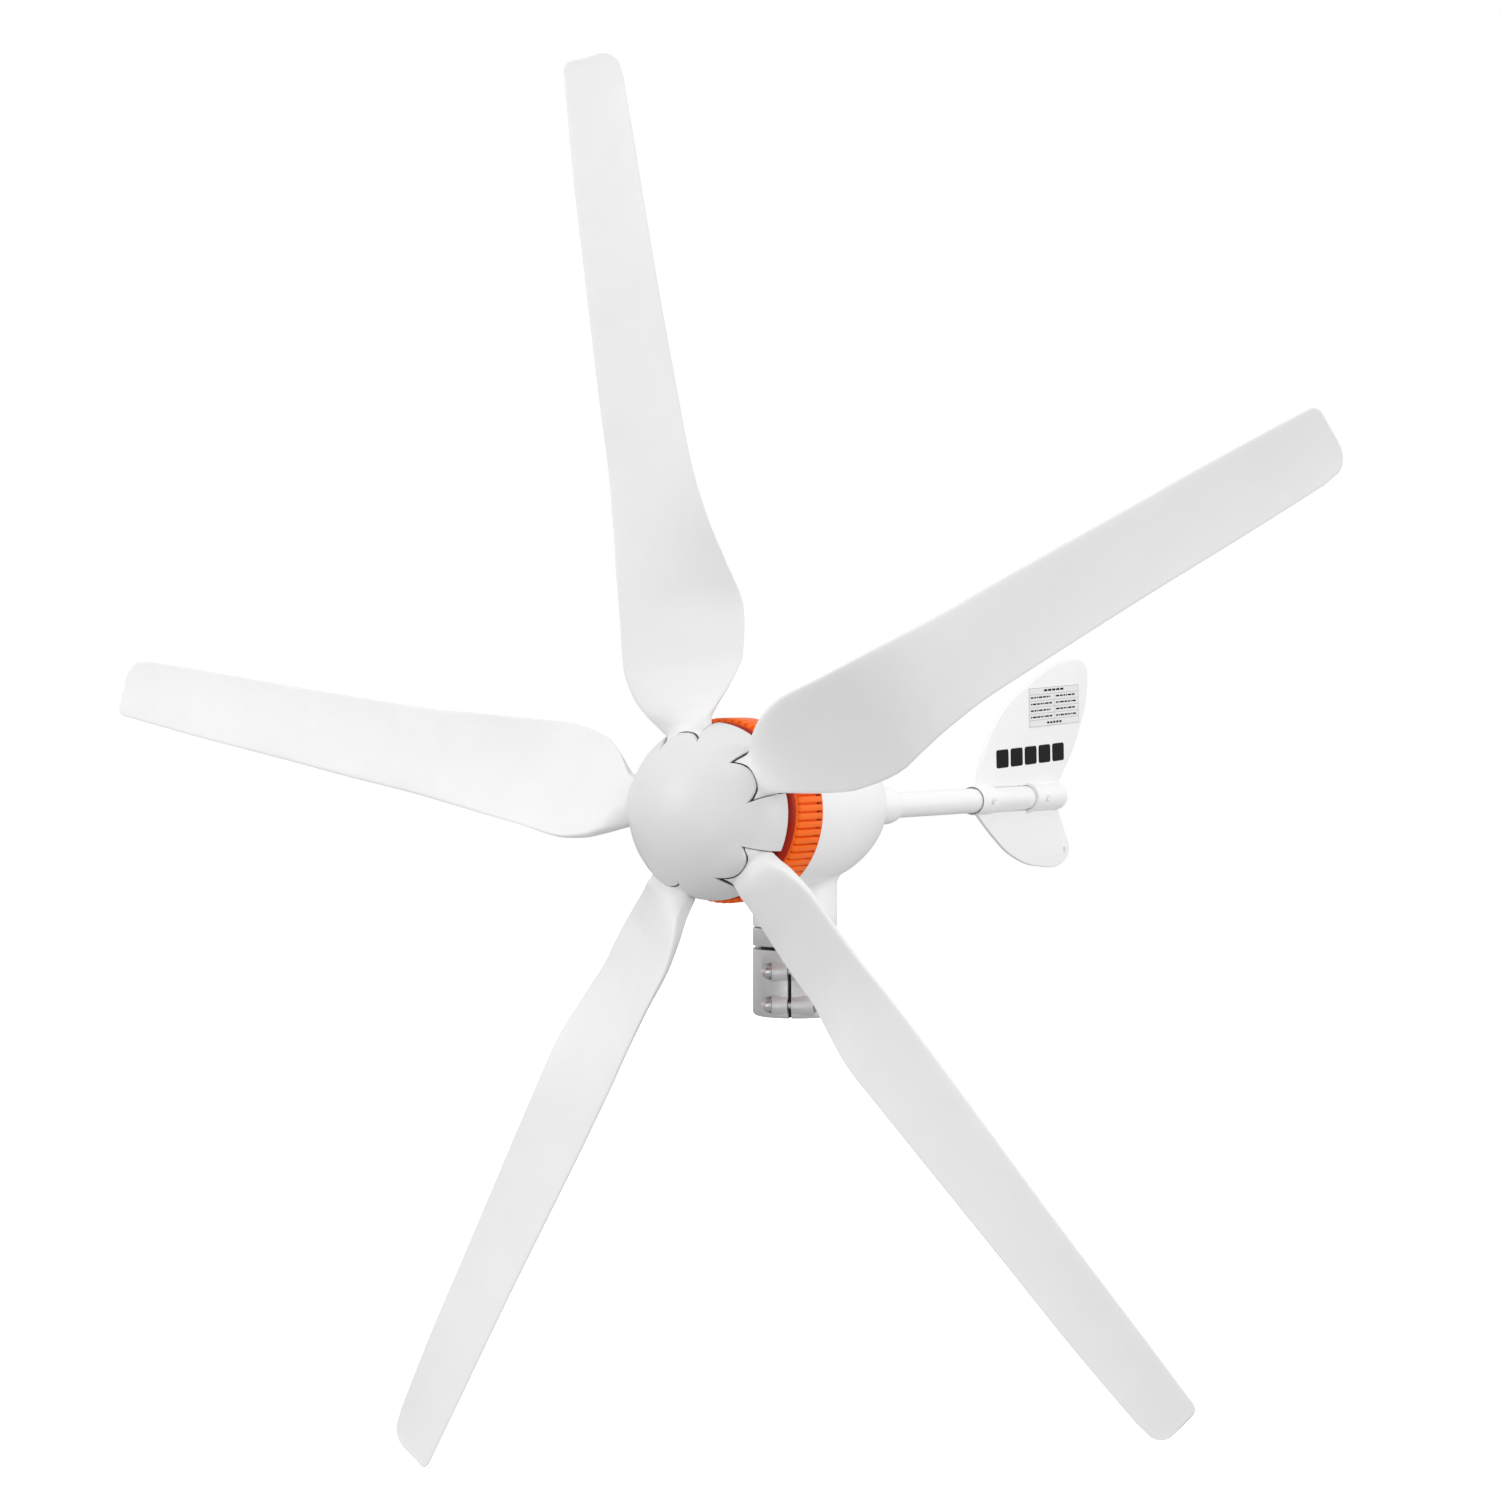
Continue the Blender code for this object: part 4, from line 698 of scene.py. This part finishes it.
def tongue_lift(x, y):
    """How far the dome stands proud over the blade roots."""
    best = 0.0
    for number in range(BLADE_COUNT):
        turn = blade_turn(number)
        side = x * math.cos(turn) + y * math.sin(turn)
        out = -(-x * math.sin(turn) + y * math.cos(turn))
        if out <= 0.0:
            continue
        across = max(1.0 - (side / TONGUE_LIFT_HALF_WIDTH) ** 2, 0.0) ** 1.5
        rise = smooth_step((out - TONGUE_LIFT_START) / (TONGUE_TIP - TONGUE_LIFT_START))
        best = max(best, TONGUE_LIFT * rise * across)
    return best


def make_nose_cone():
    """Domed cone with a half-round tongue over each blade root and skirts between the blades."""
    angles = [math.radians(a) for a in np.linspace(0.0, 90.0, 44)]
    outside = [(NOSE_RADIUS * math.sin(a), dome_depth(NOSE_RADIUS * math.sin(a))) for a in angles]
    inner_radius = NOSE_RADIUS - NOSE_WALL
    inside = [(inner_radius * math.sin(a), dome_depth(inner_radius * math.sin(a), NOSE_WALL))
              for a in angles]
    outside[-1] = (NOSE_RADIUS, NOSE_RIM_DEPTH - NOSE_RIM_EASE)
    rim = [(NOSE_RADIUS - NOSE_RIM_EASE, NOSE_RIM_DEPTH),
           (inner_radius + NOSE_RIM_EASE, NOSE_RIM_DEPTH)]
    vertices, faces = turned(outside + rim + inside[::-1], Matrix.Identity(4), 240)
    lifted = [ROTOR @ Vector((x, y, z - tongue_lift(x, y))) for x, y, z in vertices]
    cone = mesh_object("domed_nose_cone", [(lifted, faces)], sharp=60.0)
    flare = [(SLOT_FLARE - SLOT_FLARE_STEP, -SLOT_REACH), (SLOT_FLARE, -NOSE_RADIUS)]
    outline = tongue_arc() + [(TONGUE_HALF_WIDTH, -SLOT_REACH)] + flare
    cutters = []
    for number in range(BLADE_COUNT):
        place = blade_frame(number)
        rings = [[place @ Vector((x, y, depth)) for x, y in outline] for depth in SLOT_DEPTHS]
        cutters.append(mesh_object("slot_%d" % number, [skin(rings)]))
    combine(cone, cutters, "DIFFERENCE")
    round_edges(cone, 0.0005, 2, 42.0, 60.0)
    fit(cone, "rotor", "nose_plastic", "nose_cone")


# ------------------------ alternator cover
# Rib outline: share of the pitch, and height as a share of the rib's.
RIB_PHASES = ((0.0, 0.0), (0.055, 0.0), (0.085, 0.30), (0.115, 0.80), (0.155, 0.97), (0.30, 1.03),
              (0.50, 1.05), (0.70, 1.03), (0.845, 0.97), (0.885, 0.80), (0.915, 0.30), (0.945, 0.0))
RIB_PEAK = 1.05
# Front end of a rib: distance behind its start, and how much of its height it has there.
RIB_RAMP = ((0.0003, 0.02), (0.0009, 0.40), (0.0019, 0.78), (0.0031, 1.0))


def make_front_cover():
    """Flat face, rounded shoulder and a rim of round-topped ribs with bevelled ends."""
    base = COVER_VALLEY
    columns = []
    for number in range(RIB_COUNT):
        for phase, level in RIB_PHASES:
            columns.append(((number + phase) * math.tau / RIB_COUNT, level))
    raised = COVER_FACE - FACE_RING_HEIGHT
    rows = [(COVER_SHAFT_HOLE, COVER_FACE, 0.0), (FACE_RING_INNER, COVER_FACE, 0.0),
            (FACE_RING_INNER + FACE_RING_SLOPE, raised, 0.0),
            (FACE_RING_OUTER - FACE_RING_SLOPE, raised, 0.0),
            (FACE_RING_OUTER, COVER_FACE, 0.0), (COVER_FLAT_RADIUS, COVER_FACE, 0.0)]
    for turn in np.linspace(-90.0, -8.0, 9):
        angle = math.radians(turn)
        rows.append((base - COVER_CORNER + COVER_CORNER * math.cos(angle),
                     COVER_FACE + COVER_CORNER + COVER_CORNER * math.sin(angle), 0.0))
    for depth, ramp in RIB_RAMP:
        rows.append((base, RIB_START + depth, ramp))
    back = COVER_BACK
    end = back + SPIGOT_LENGTH
    inside = COVER_FACE + COVER_PLATE
    rows += [(base, 0.070, 1.0), (base, back - 0.0044, 1.0),
             (base - RIB_PIT, back - 0.0043, 1.06), (base - RIB_PIT, back - 0.0011, 1.06),
             (RIM_RADIUS, back - 0.0010, 0.0), (RIM_RADIUS, back - RIM_EASE, 0.0),
             (RIM_RADIUS - RIM_EASE, back, 0.0), (0.0660, back, 0.0),
             (SPIGOT_RADIUS, back, 0.0), (SPIGOT_RADIUS, end, 0.0), (SPIGOT_BORE, end, 0.0),
             (SPIGOT_BORE, inside, 0.0), (COVER_SHAFT_HOLE, inside, 0.0)]
    rings = []
    for radius, depth, ramp in rows:
        ring = []
        for angle, level in columns:
            r = radius
            lag = 0.0
            if ramp > 0.0:
                r += (RIB_RADIUS - radius) * min(level, RIB_PEAK) * min(ramp, 1.0) / RIB_PEAK
            if 0.0 < ramp < 1.0:
                lag = RIB_END_ROUNDING * (1.0 - min(level, 1.0))
            ring.append(ROTOR @ polar(r, angle, depth + lag))
        rings.append(ring)
    piece = mesh_object("ribbed_front_cover", [skin(rings, loop=True)], sharp=48.0)
    fit(piece, "nacelle", "cover_orange", "front_cover")
    # Black ring behind the ribs that fills the floor of the rib pits: partly a seal between cover
    # and shell, partly painted shade that darkens the pits.
    low, high = back - 0.0042, back - 0.0006
    band = [(PIT_SHADE_SEAL_BORE, low), (base - 0.0001, low), (base - 0.0001, high), (PIT_SHADE_SEAL_BORE, high)]
    rounded = soften(band, 0.0002, 2, closed=True)
    pit_shade_seal = mesh_object("cover_seal_pit_shade", [turned(rounded, ROTOR, 160, loop=True)])
    fit(pit_shade_seal, "nacelle", "seal_rubber")


# ------------------------ nacelle
def bulb_radius(depth):
    """Radius of the nacelle at a depth."""
    if depth <= BULB_START:
        return BULB_RADIUS
    share = min((depth - BULB_START) / BULB_LENGTH, 1.0)
    return BULB_RADIUS * math.sqrt(1.0 - share * share)


def bulb_underside(x, y):
    """Height of the nacelle's lower surface over a point."""
    radius = bulb_radius(y - TIP_PLANE_Y)
    return HUB_HEIGHT - math.sqrt(max(radius * radius - x * x, 0.0))


def bulb_curve(shrink, count):
    """Rear part of the bulb's profile, or of its cavity's."""
    radius = BULB_RADIUS - shrink
    length = BULB_LENGTH - shrink
    return [(radius * math.sin(turn), BULB_START + length * math.cos(turn))
            for turn in np.radians(np.linspace(90.0, 0.0, count))]


def make_nacelle():
    """Bulb with a slim rolled front edge, and a round neck that flares into it."""
    front = SHELL_FRONT
    profile = [(0.0, front), (BULB_RADIUS - 0.0008, front), (BULB_RADIUS - 0.0002, front + 0.0003),
               (BULB_RADIUS, front + 0.0009), (BULB_RADIUS, 0.105), (BULB_RADIUS, 0.118)]
    profile += bulb_curve(0.0, 48)
    bulb = mesh_object("nacelle_casing", [turned(profile, ROTOR, 180)], sharp=50.0)
    angles = np.linspace(0.0, math.tau, 180, endpoint=False)

    def level_ring(radius, height):
        return [polar(radius, a, height) for a in angles]
    rings = [level_ring(CLAMP_RADIUS + inward, NECK_BOTTOM + rise) for inward, rise in NECK_FOOT]
    steps = 12
    far = (CLAMP_RADIUS + NECK_FILLET) / CLAMP_RADIUS
    for step in range(steps + 1):
        t = step / steps
        ring = []
        for a in angles:
            x, y = CLAMP_RADIUS * math.cos(a), CLAMP_RADIUS * math.sin(a)
            top = bulb_underside(x, y)
            landing = Vector((x * far, y * far, bulb_underside(x * far, y * far) + 0.0001))
            start = Vector((x, y, top - NECK_FILLET))
            middle = Vector((x, y, top))
            ring.append((1 - t) ** 2 * start + 2 * t * (1 - t) * middle + t * t * landing)
        rings.append(ring)
    rings.append(level_ring(CLAMP_RADIUS, HUB_HEIGHT - 0.040))
    combine(bulb, [mesh_object("neck", [skin(rings)])], "UNION")
    mouth = front - SHELL_MOUTH
    hollow = [(0.0, mouth), (BULB_RADIUS - SHELL_WALL, mouth)] + bulb_curve(SHELL_WALL, 24)
    cavity = mesh_object("cavity", [turned(hollow, ROTOR, 96)])
    column = [level_ring(CLAMP_RADIUS, z) for z in (0.050, NECK_TOP)]
    housing = mesh_object("housing", [skin(column)])
    combine(cavity, [housing], "DIFFERENCE")
    bore = mesh_object("bore", [skin([level_ring(NECK_BORE, z) for z in (0.060, NECK_TOP + 0.01)])])
    tail = mesh_object("tail_hole", [turned(rod(TAIL_HOLE_RADIUS, *TAIL_HOLE_SPAN), BOOM)])
    combine(bulb, [cavity, bore, tail], "DIFFERENCE")
    crease(bulb, 50.0)
    fit(bulb, "nacelle", "nacelle_paint", "nacelle_shell")


# ------------------------ pole clamp
def along_bolt(offset_x, height, line=BOLT_LINE):
    """Frame of a clamp bolt's line, its Z along the bolt."""
    return CLAMP @ Matrix.Translation((offset_x, -line, height)) @ SIDEWAYS


def slit_solid(name, width, inner, outer, foot):
    """Solid along the clamp's slit: up the front, round a corner and along the ring."""
    split = math.radians(-90.0)
    corner = SLIT_CORNER / CLAMP_RADIUS
    path = [(split, z) for z in (foot, 0.020, SLIT_HEIGHT - SLIT_CORNER)]
    for t in np.linspace(0.15, 1.571, 8):
        path.append((split - corner * (1.0 - math.cos(t)),
                     SLIT_HEIGHT - SLIT_CORNER + SLIT_CORNER * math.sin(t)))
    end = split - math.radians(SLIT_SWEEP)
    path += [(angle, SLIT_HEIGHT) for angle in np.linspace(split - corner - 0.05, end, 36)]
    rings = []
    for i, (angle, height) in enumerate(path):
        before = path[max(i - 1, 0)]
        after = path[min(i + 1, len(path) - 1)]
        step = Vector(((after[0] - before[0]) * CLAMP_RADIUS, after[1] - before[1])).normalized()
        side_angle = -step[1] * width / 2 / CLAMP_RADIUS
        side_height = step[0] * width / 2
        corners = []
        for sign, radius in ((1, inner), (1, outer), (-1, outer), (-1, inner)):
            a = angle + sign * side_angle
            corners.append(CLAMP @ polar(radius, a, height + sign * side_height))
        rings.append(corners)
    return mesh_object(name, [skin(rings)])


def make_clamp():
    """One casting: split sleeve, solid top ring, and two round bolt lugs with pockets."""
    profile = [(SPINDLE_HOLE, CLAMP_TOP), (CLAMP_RADIUS, CLAMP_TOP), (CLAMP_RADIUS, 0.0),
               (POLE_BORE, 0.0), (POLE_BORE, CLAMP_WEB), (SPINDLE_HOLE, CLAMP_WEB)]
    radii = [0.0005, 0.0016, 0.0060, 0.0010, 0.0, 0.0005]
    rounded = soften(profile, radii, 6, closed=True)
    clamp = mesh_object("clamp_casting", [turned(rounded, CLAMP, 144, loop=True)])
    lugs = []
    for height in LUG_HEIGHTS.values():
        lug = soften(rod(LUG_RADIUS, LUG_LEFT, LUG_RIGHT), [0.0, LUG_EASE, LUG_EASE, 0.0], 3)
        lugs.append(mesh_object("lug", [turned(lug, along_bolt(0.0, height, LUG_LINE), 48)]))
    combine(clamp, lugs, "UNION")
    cutters = []
    for height in LUG_HEIGHTS.values():
        place = along_bolt(0.0, height)
        cuts = {"head": rod(POCKET_RADIUS, LUG_LEFT - HEAD_POCKET, LUG_LEFT + POCKET_SINK),
                "nut": rod(POCKET_RADIUS, LUG_RIGHT - POCKET_SINK, LUG_RIGHT + NUT_POCKET),
                "bore": rod(BOLT_BORE, LUG_LEFT - 0.001, LUG_RIGHT + 0.001)}
        for name, cut in cuts.items():
            cutters.append(mesh_object(name, [turned(cut, place, 40)]))
    cutters.append(slit_solid("slit", SLIT_WIDTH, *SLIT_CUT))
    combine(clamp, cutters, "DIFFERENCE")
    round_edges(clamp, CLAMP_EDGE, 2, 34.0, 48.0)
    fit(clamp, "pole_mount", "clamp_cast", "pole_clamp")
    # Painted shade: a black strip deep in the slit stands in for the shade inside it.
    strip = slit_solid("slit_shade_strip", SLIT_SHADE_WIDTH, *SLIT_SHADE_SPAN)
    fit(strip, "pole_mount", "seal_rubber")


# ------------------------ fasteners
def hex_reach(corner):
    """Radius round a hexagon, by angle."""
    flat = corner * math.cos(math.pi / 6)

    def reach(angle, radius, height):
        folded = (angle + math.pi / 6) % (math.pi / 3) - math.pi / 6
        return radius / corner * flat / math.cos(folded)
    return reach


def socket_screw(name, place, radius, height, shank, length, hexagon):
    """Cap screw, head from height 0 up, with a hexagon socket and a shank below."""
    rim = 0.12 * radius
    floor = height * 0.45
    profile = soften([(0.0, -length), (shank, -length), (shank, 0.0), (radius, 0.0),
                      (radius, height), (hexagon * 1.12, height), (hexagon * 1.02, height - rim)],
                     [0.0, shank * 0.25, 0.0, rim * 0.5, rim, 0.0, 0.0], 3)
    profile += [(hexagon, height - rim * 1.3), (hexagon, floor), (0.0, floor - 0.1 * radius)]
    six = hex_reach(hexagon)

    def reach(angle, far, level):
        return six(angle, far, level) if level > 0.0 and far <= hexagon else far
    return mesh_object(name, [turned(profile, place, 48, reach=reach)], sharp=35.0)


def hex_nut(name, place, corner, bore, low, high):
    """Hexagon nut with chamfered corners and a countersunk thread."""
    chamfer = 0.10 * corner
    inmost = 0.96 * corner * math.cos(math.pi / 6)
    six = hex_reach(corner)

    def reach(angle, radius, height):
        if radius <= bore * 1.3:
            return radius
        edge = min(height - low, high - height)
        round_limit = inmost + (corner - inmost) * min(edge / chamfer, 1.0)
        return min(six(angle, radius, height), round_limit)
    levels = (low, low + chamfer * 0.5, low + chamfer, high - chamfer, high - chamfer * 0.5, high)
    profile = [(bore * 1.15, low)] + [(corner, level) for level in levels]
    profile += [(bore * 1.15, high), (bore, high - 0.0004), (bore, low + 0.0004)]
    return mesh_object(name, [turned(profile, place, 72, loop=True, reach=reach)], sharp=28.0)


def make_fasteners():
    """Clamp bolts and nuts, cover screws, and the screws on the boom and the vane."""
    for level, height in LUG_HEIGHTS.items():
        place = along_bolt(LUG_LEFT + SCREW_SINK, height) @ TURN_OVER
        screw = socket_screw("clamp_cap_screw_" + level, place, *CLAMP_SCREW)
        fit(screw, "pole_mount", "bright_steel", "clamp_bolt_" + level)
        nut = hex_nut("clamp_hex_nut_" + level, along_bolt(0.0, height), CLAMP_NUT_CORNER,
                      CLAMP_NUT_BORE, LUG_RIGHT - SCREW_SINK, LUG_RIGHT + CLAMP_NUT_END)
        fit(nut, "pole_mount", "bright_steel", "clamp_nut_" + level)
    for number in range(4):
        turn = math.radians(45.0 + 90.0 * number)
        centre = Matrix.Translation(polar(COVER_SCREW_CIRCLE, turn, COVER_FACE - SCREW_SINK))
        place = ROTOR @ centre @ TURN_OVER
        screw = socket_screw("cover_screw_%d" % (number + 1), place, *COVER_SCREW)
        fit(screw, "nacelle", "bright_steel", "through_bolt_%d" % (number + 1))
    for name, place in SLEEVE_SCREW_PLACES.items():
        centre = Matrix.Translation((SLEEVE_SCREW_FACE, place, BOOM_HEIGHT)) @ SIDEWAYS
        screw = socket_screw("sleeve_screw_" + name, centre, *SLEEVE_SCREW)
        fit(screw, "nacelle", "nacelle_paint", "vane_screw_" + name)
    centre = Matrix.Translation((0.0, COLLAR_SCREW_PLACE, BOOM_HEIGHT - COLLAR_SCREW_FACE))
    screw = socket_screw("collar_screw", centre @ TURN_OVER, *COLLAR_SCREW)
    fit(screw, "nacelle", "bright_steel", "boom_screw")


# ------------------------ boom and vane
def make_boom():
    """Flared collar on the nacelle and the tube in it."""
    collar = soften([row[:2] for row in COLLAR_PROFILE], [row[2] for row in COLLAR_PROFILE], 5,
                    closed=True)
    piece = mesh_object("flared_collar", [turned(collar, BOOM, 96, loop=True)], sharp=40.0)
    fit(piece, "nacelle", "nacelle_paint", "boom_collar")
    start, end = BOOM_SPAN
    tube = [(BOOM_BORE, start), (BOOM_RADIUS, start), (BOOM_RADIUS, end), (BOOM_BORE, end)]
    rounded = soften(tube, 0.0004, 3, closed=True)
    piece = mesh_object("boom_tube", [turned(rounded, BOOM, 96, loop=True)])
    fit(piece, "nacelle", "nacelle_paint", "tail_boom")


def fin(name, outline):
    """Flat moulded fin with rounded edges, from (Y, Z) points."""
    curve = bpy.data.curves.new(name, "CURVE")
    curve.dimensions = "2D"
    curve.fill_mode = "BOTH"
    curve.extrude = FIN_THICKNESS / 2 - FIN_EDGE
    curve.bevel_depth = FIN_EDGE
    curve.bevel_resolution = 4
    curve.offset = -FIN_EDGE
    curve.resolution_u = 20
    spline = curve.splines.new("BEZIER")
    spline.bezier_points.add(len(outline) - 1)
    for point, (y, z) in zip(spline.bezier_points, outline):
        point.co = (y, z, 0.0)
        handle = "VECTOR" if (y, z) in (outline[0], outline[-1]) else "AUTO"
        point.handle_left_type = handle
        point.handle_right_type = handle
    spline.use_cyclic_u = True
    guide = bpy.data.objects.new(name + "_outline", curve)
    show(guide)
    guide.rotation_euler = (math.radians(90.0), 0.0, math.radians(90.0))
    bpy.context.view_layer.update()
    graph = bpy.context.evaluated_depsgraph_get()
    mesh = bpy.data.meshes.new_from_object(guide.evaluated_get(graph))
    vertices = [tuple(guide.matrix_world @ v.co) for v in mesh.vertices]
    faces = [tuple(face.vertices) for face in mesh.polygons]
    bpy.data.objects.remove(guide, do_unlink=True)
    return vertices, faces


def make_vane():
    """Moulded vane: two fins, a front sleeve, a gap that shows the boom, and a domed rear sleeve."""
    outer = SLEEVE_RADIUS
    start, end = FRONT_SLEEVE
    front = [(SLEEVE_BORE, start), (0.0122, start), (0.0124, start - 0.0050),
             (outer, start - 0.0048), (outer, end), (SLEEVE_BORE, end)]
    start, end = REAR_SLEEVE
    rear = [(SLEEVE_BORE, start), (outer + SLEEVE_LIP, start), (outer + SLEEVE_LIP, start + 0.0020),
            (outer, start + 0.0026), (outer, end)]
    for angle in np.linspace(0.0, 90.0, 12)[1:]:
        turn = math.radians(angle)
        rear.append((outer - SLEEVE_DOME + SLEEVE_DOME * math.cos(turn),
                     end + SLEEVE_DOME * math.sin(turn)))
    rear += [(0.0, end + SLEEVE_DOME), (0.0, end - 0.0005), (SLEEVE_BORE, end - 0.0005)]
    front = soften(front, [0.0, 0.0, 0.0001, 0.0001, 0.0005, 0.0], 3, closed=True)
    rear = soften(rear, [0.0, 0.0004, 0.0004, 0.0004] + [0.0] * (len(rear) - 4), 3, closed=True)
    piece = mesh_object("moulded_vane", [fin("upper_fin", UPPER_FIN)])
    others = [turned(front, BOOM, 96, loop=True), turned(rear, BOOM, 96, loop=True),
              fin("lower_fin", LOWER_FIN)]
    combine(piece, [mesh_object("vane_part", [other]) for other in others], "UNION")
    hole = rod(HANG_HOLE_RADIUS, -HANG_HOLE_REACH, HANG_HOLE_REACH)
    place = Matrix.Translation((0.0, *HANG_HOLE)) @ SIDEWAYS
    combine(piece, [mesh_object("hang_hole", [turned(hole, place, 40)])], "DIFFERENCE")
    crease(piece, 45.0)
    fit(piece, "nacelle", "vane_plastic", "tail_vane")


def flat_strip(y_low, z_low, y_high, z_high, level, height, rounding=0.0):
    """Thin printed strip on the vane's right side, with rounded corners."""
    corners = [(y_low, z_low), (y_high, z_low), (y_high, z_high), (y_low, z_high)]
    outline = soften(corners, rounding, 6, closed=True) if rounding else corners
    tilt = Matrix.Translation(LABEL_CENTRE) @ Matrix.Rotation(LABEL_TILT, 4, "X")
    rings = [[tilt @ Vector((x, y, z)) for y, z in outline] for x in (level, level + height)]
    return skin(rings)


def make_markings():
    """Five plain dark blocks, and a label with a ruled grid and plain dashes in place of print."""
    side = FIN_THICKNESS / 2
    blocks = []
    for number in range(5):
        start = BLOCK_START + BLOCK_PITCH * number
        blocks.append(flat_strip(start, BLOCK_LOW, start + BLOCK_WIDTH, BLOCK_HIGH, side - 0.0001,
                                 0.0003, BLOCK_ROUNDING))
    mark = mesh_object("plain_blocks", blocks)
    fit(mark, "nacelle", "label_film", look="ink")
    half_y = LABEL_HALF_Y
    half_z = LABEL_HALF_Z
    sheet = flat_strip(-half_y, -half_z, half_y, half_z, side, LABEL_THICKNESS, 0.0012)
    film = mesh_object("label_film_sheet", [sheet])
    fit(film, "nacelle", "label_film", "rating_sticker")
    level = side + LABEL_THICKNESS - INK_HEIGHT / 2
    line = RULE_WIDTH
    rows = LABEL_ROWS
    pitch = 2 * half_z / rows

    def ink(y_low, z_low, y_high, z_high, rounding=0.0):
        return flat_strip(y_low, z_low, y_high, z_high, level, INK_HEIGHT, rounding)
    ruled = []
    for number in range(rows + 1):
        height = -half_z + 0.0004 + number * (2 * half_z - 0.0008) / rows
        ruled.append(ink(-half_y + 0.0006, height - line / 2, half_y - 0.0006, height + line / 2))
    for place in (-half_y + 0.0008, 0.0, half_y - 0.0008):
        inset = pitch if abs(place) < 0.01 else 0.0
        ruled.append(ink(place - line / 2, inset - half_z + 0.0005,
                         place + line / 2, half_z - inset - 0.0005))
    grid = mesh_object("label_grid", ruled)
    fit(grid, "nacelle", "label_film", look="faint_ink")
    dashes = []
    for row in range(1, rows - 1):
        middle = half_z - (row + 0.5) * pitch
        for column in (-half_y + 0.003, 0.003):
            spot = column
            for number in range(7):
                length = 0.0022 + 0.0016 * ((3 * number + 2 * row + (column > 0)) % 4)
                if spot + length < column + 0.0420:
                    dashes.append(ink(spot, middle - 0.0007, spot + length, middle + 0.0008,
                                      INK_ROUNDING))
                spot += length + 0.0014
    for middle, width in ((half_z - 0.5 * pitch, 0.0400), (-half_z + 0.5 * pitch, 0.0300)):
        for number in range(5):
            spot = -width / 2 + width / 5 * number
            dashes.append(ink(spot, middle - 0.0009, spot + width / 5 - 0.0016, middle + 0.0010,
                              INK_ROUNDING))
    print_marks = mesh_object("label_dashes", dashes)
    fit(print_marks, "nacelle", "label_film", look="ink")


# ------------------------ carried-over CAD nodes
def finish_cad_nodes():
    """Give every CAD node that still shows its own finish and soft edges."""
    slots = {row["node"]: row["material_slot"] for row in frame["record"]["subparts"]}
    for name, node in frame["nodes"].items():
        if node.hide_render:
            continue
        node.data.materials.clear()
        node.data.materials.append(FINISHES[slots[name]])
        step = node.modifiers.new("edges", "BEVEL")
        step.width = 0.0003
        step.segments = 2
        step.limit_method = "ANGLE"
        step.angle_limit = math.radians(40.0)


# ------------------------ stage, lights and camera
def make_stage():
    """Plain pale floor well below the blades, and a white surround."""
    size = FLOOR_SIZE
    height = FLOOR_HEIGHT
    mesh = bpy.data.meshes.new("floor")
    mesh.from_pydata([(-size, -size, height), (size, -size, height), (size, size, height),
                      (-size, size, height)], [], [(0, 1, 2, 3)])
    floor = bpy.data.objects.new("floor", mesh)
    show(floor)
    pale = bpy.data.materials.new("pale_floor")
    pale.use_nodes = True
    shader = pale.node_tree.nodes["Principled BSDF"]
    shader.inputs["Base Color"].default_value = (*FLOOR_GREY, 1.0)
    shader.inputs["Roughness"].default_value = 0.9
    shader.inputs["Specular IOR Level"].default_value = 0.1
    shader.inputs["Emission Color"].default_value = PURE_WHITE
    seen = pale.node_tree.nodes.new("ShaderNodeLightPath")
    pale.node_tree.links.new(seen.outputs["Is Camera Ray"], shader.inputs["Emission Strength"])
    mesh.materials.append(pale)
    world = bpy.data.worlds.new("surround")
    bpy.context.scene.world = world
    world.use_nodes = True
    tree = world.node_tree
    link = tree.links.new
    back = tree.nodes["Background"]
    back.inputs["Color"].default_value = PURE_WHITE
    back.inputs["Strength"].default_value = SURROUND_LIGHT
    seen = tree.nodes.new("ShaderNodeBackground")
    seen.inputs["Color"].default_value = PURE_WHITE
    seen.inputs["Strength"].default_value = 1.0
    path = tree.nodes.new("ShaderNodeLightPath")
    mix = tree.nodes.new("ShaderNodeMixShader")
    link(path.outputs["Is Camera Ray"], mix.inputs["Fac"])
    link(back.outputs["Background"], mix.inputs[1])
    link(seen.outputs["Background"], mix.inputs[2])
    link(mix.outputs["Shader"], tree.nodes["World Output"].inputs["Surface"])


def soft_light(name, place, size, power):
    """Square area light aimed at the middle of the turbine."""
    lamp = bpy.data.lights.new(name, "AREA")
    lamp.shape = "SQUARE"
    lamp.size = size
    lamp.energy = power
    made = bpy.data.objects.new(name, lamp)
    made.location = place
    aim = Vector(LIGHT_TARGET) - Vector(place)
    made.rotation_euler = aim.to_track_quat("-Z", "Y").to_euler()
    show(made)


def make_lights_and_camera():
    """Soft lights from the front, above and the right, and the camera at the photograph's angle."""
    for name, (place, size, power) in LIGHTS.items():
        soft_light(name, place, size, power)
    data = bpy.data.cameras.new("camera")
    data.lens = CAMERA_LENS
    data.sensor_width = 36.0
    data.clip_start = 0.05
    camera = bpy.data.objects.new("camera", data)
    camera.location = CAMERA_PLACE
    camera.rotation_euler = (math.radians(90.0 + CAMERA_PITCH), 0.0, math.radians(CAMERA_HEADING))
    show(camera)
    bpy.context.scene.camera = camera
    bpy.context.scene.view_settings.view_transform = "Standard"


# ------------------------ assembly
make_blades()
make_nose_cone()
make_front_cover()
make_nacelle()
make_clamp()
make_fasteners()
make_boom()
make_vane()
make_markings()
finish_cad_nodes()
make_stage()
make_lights_and_camera()
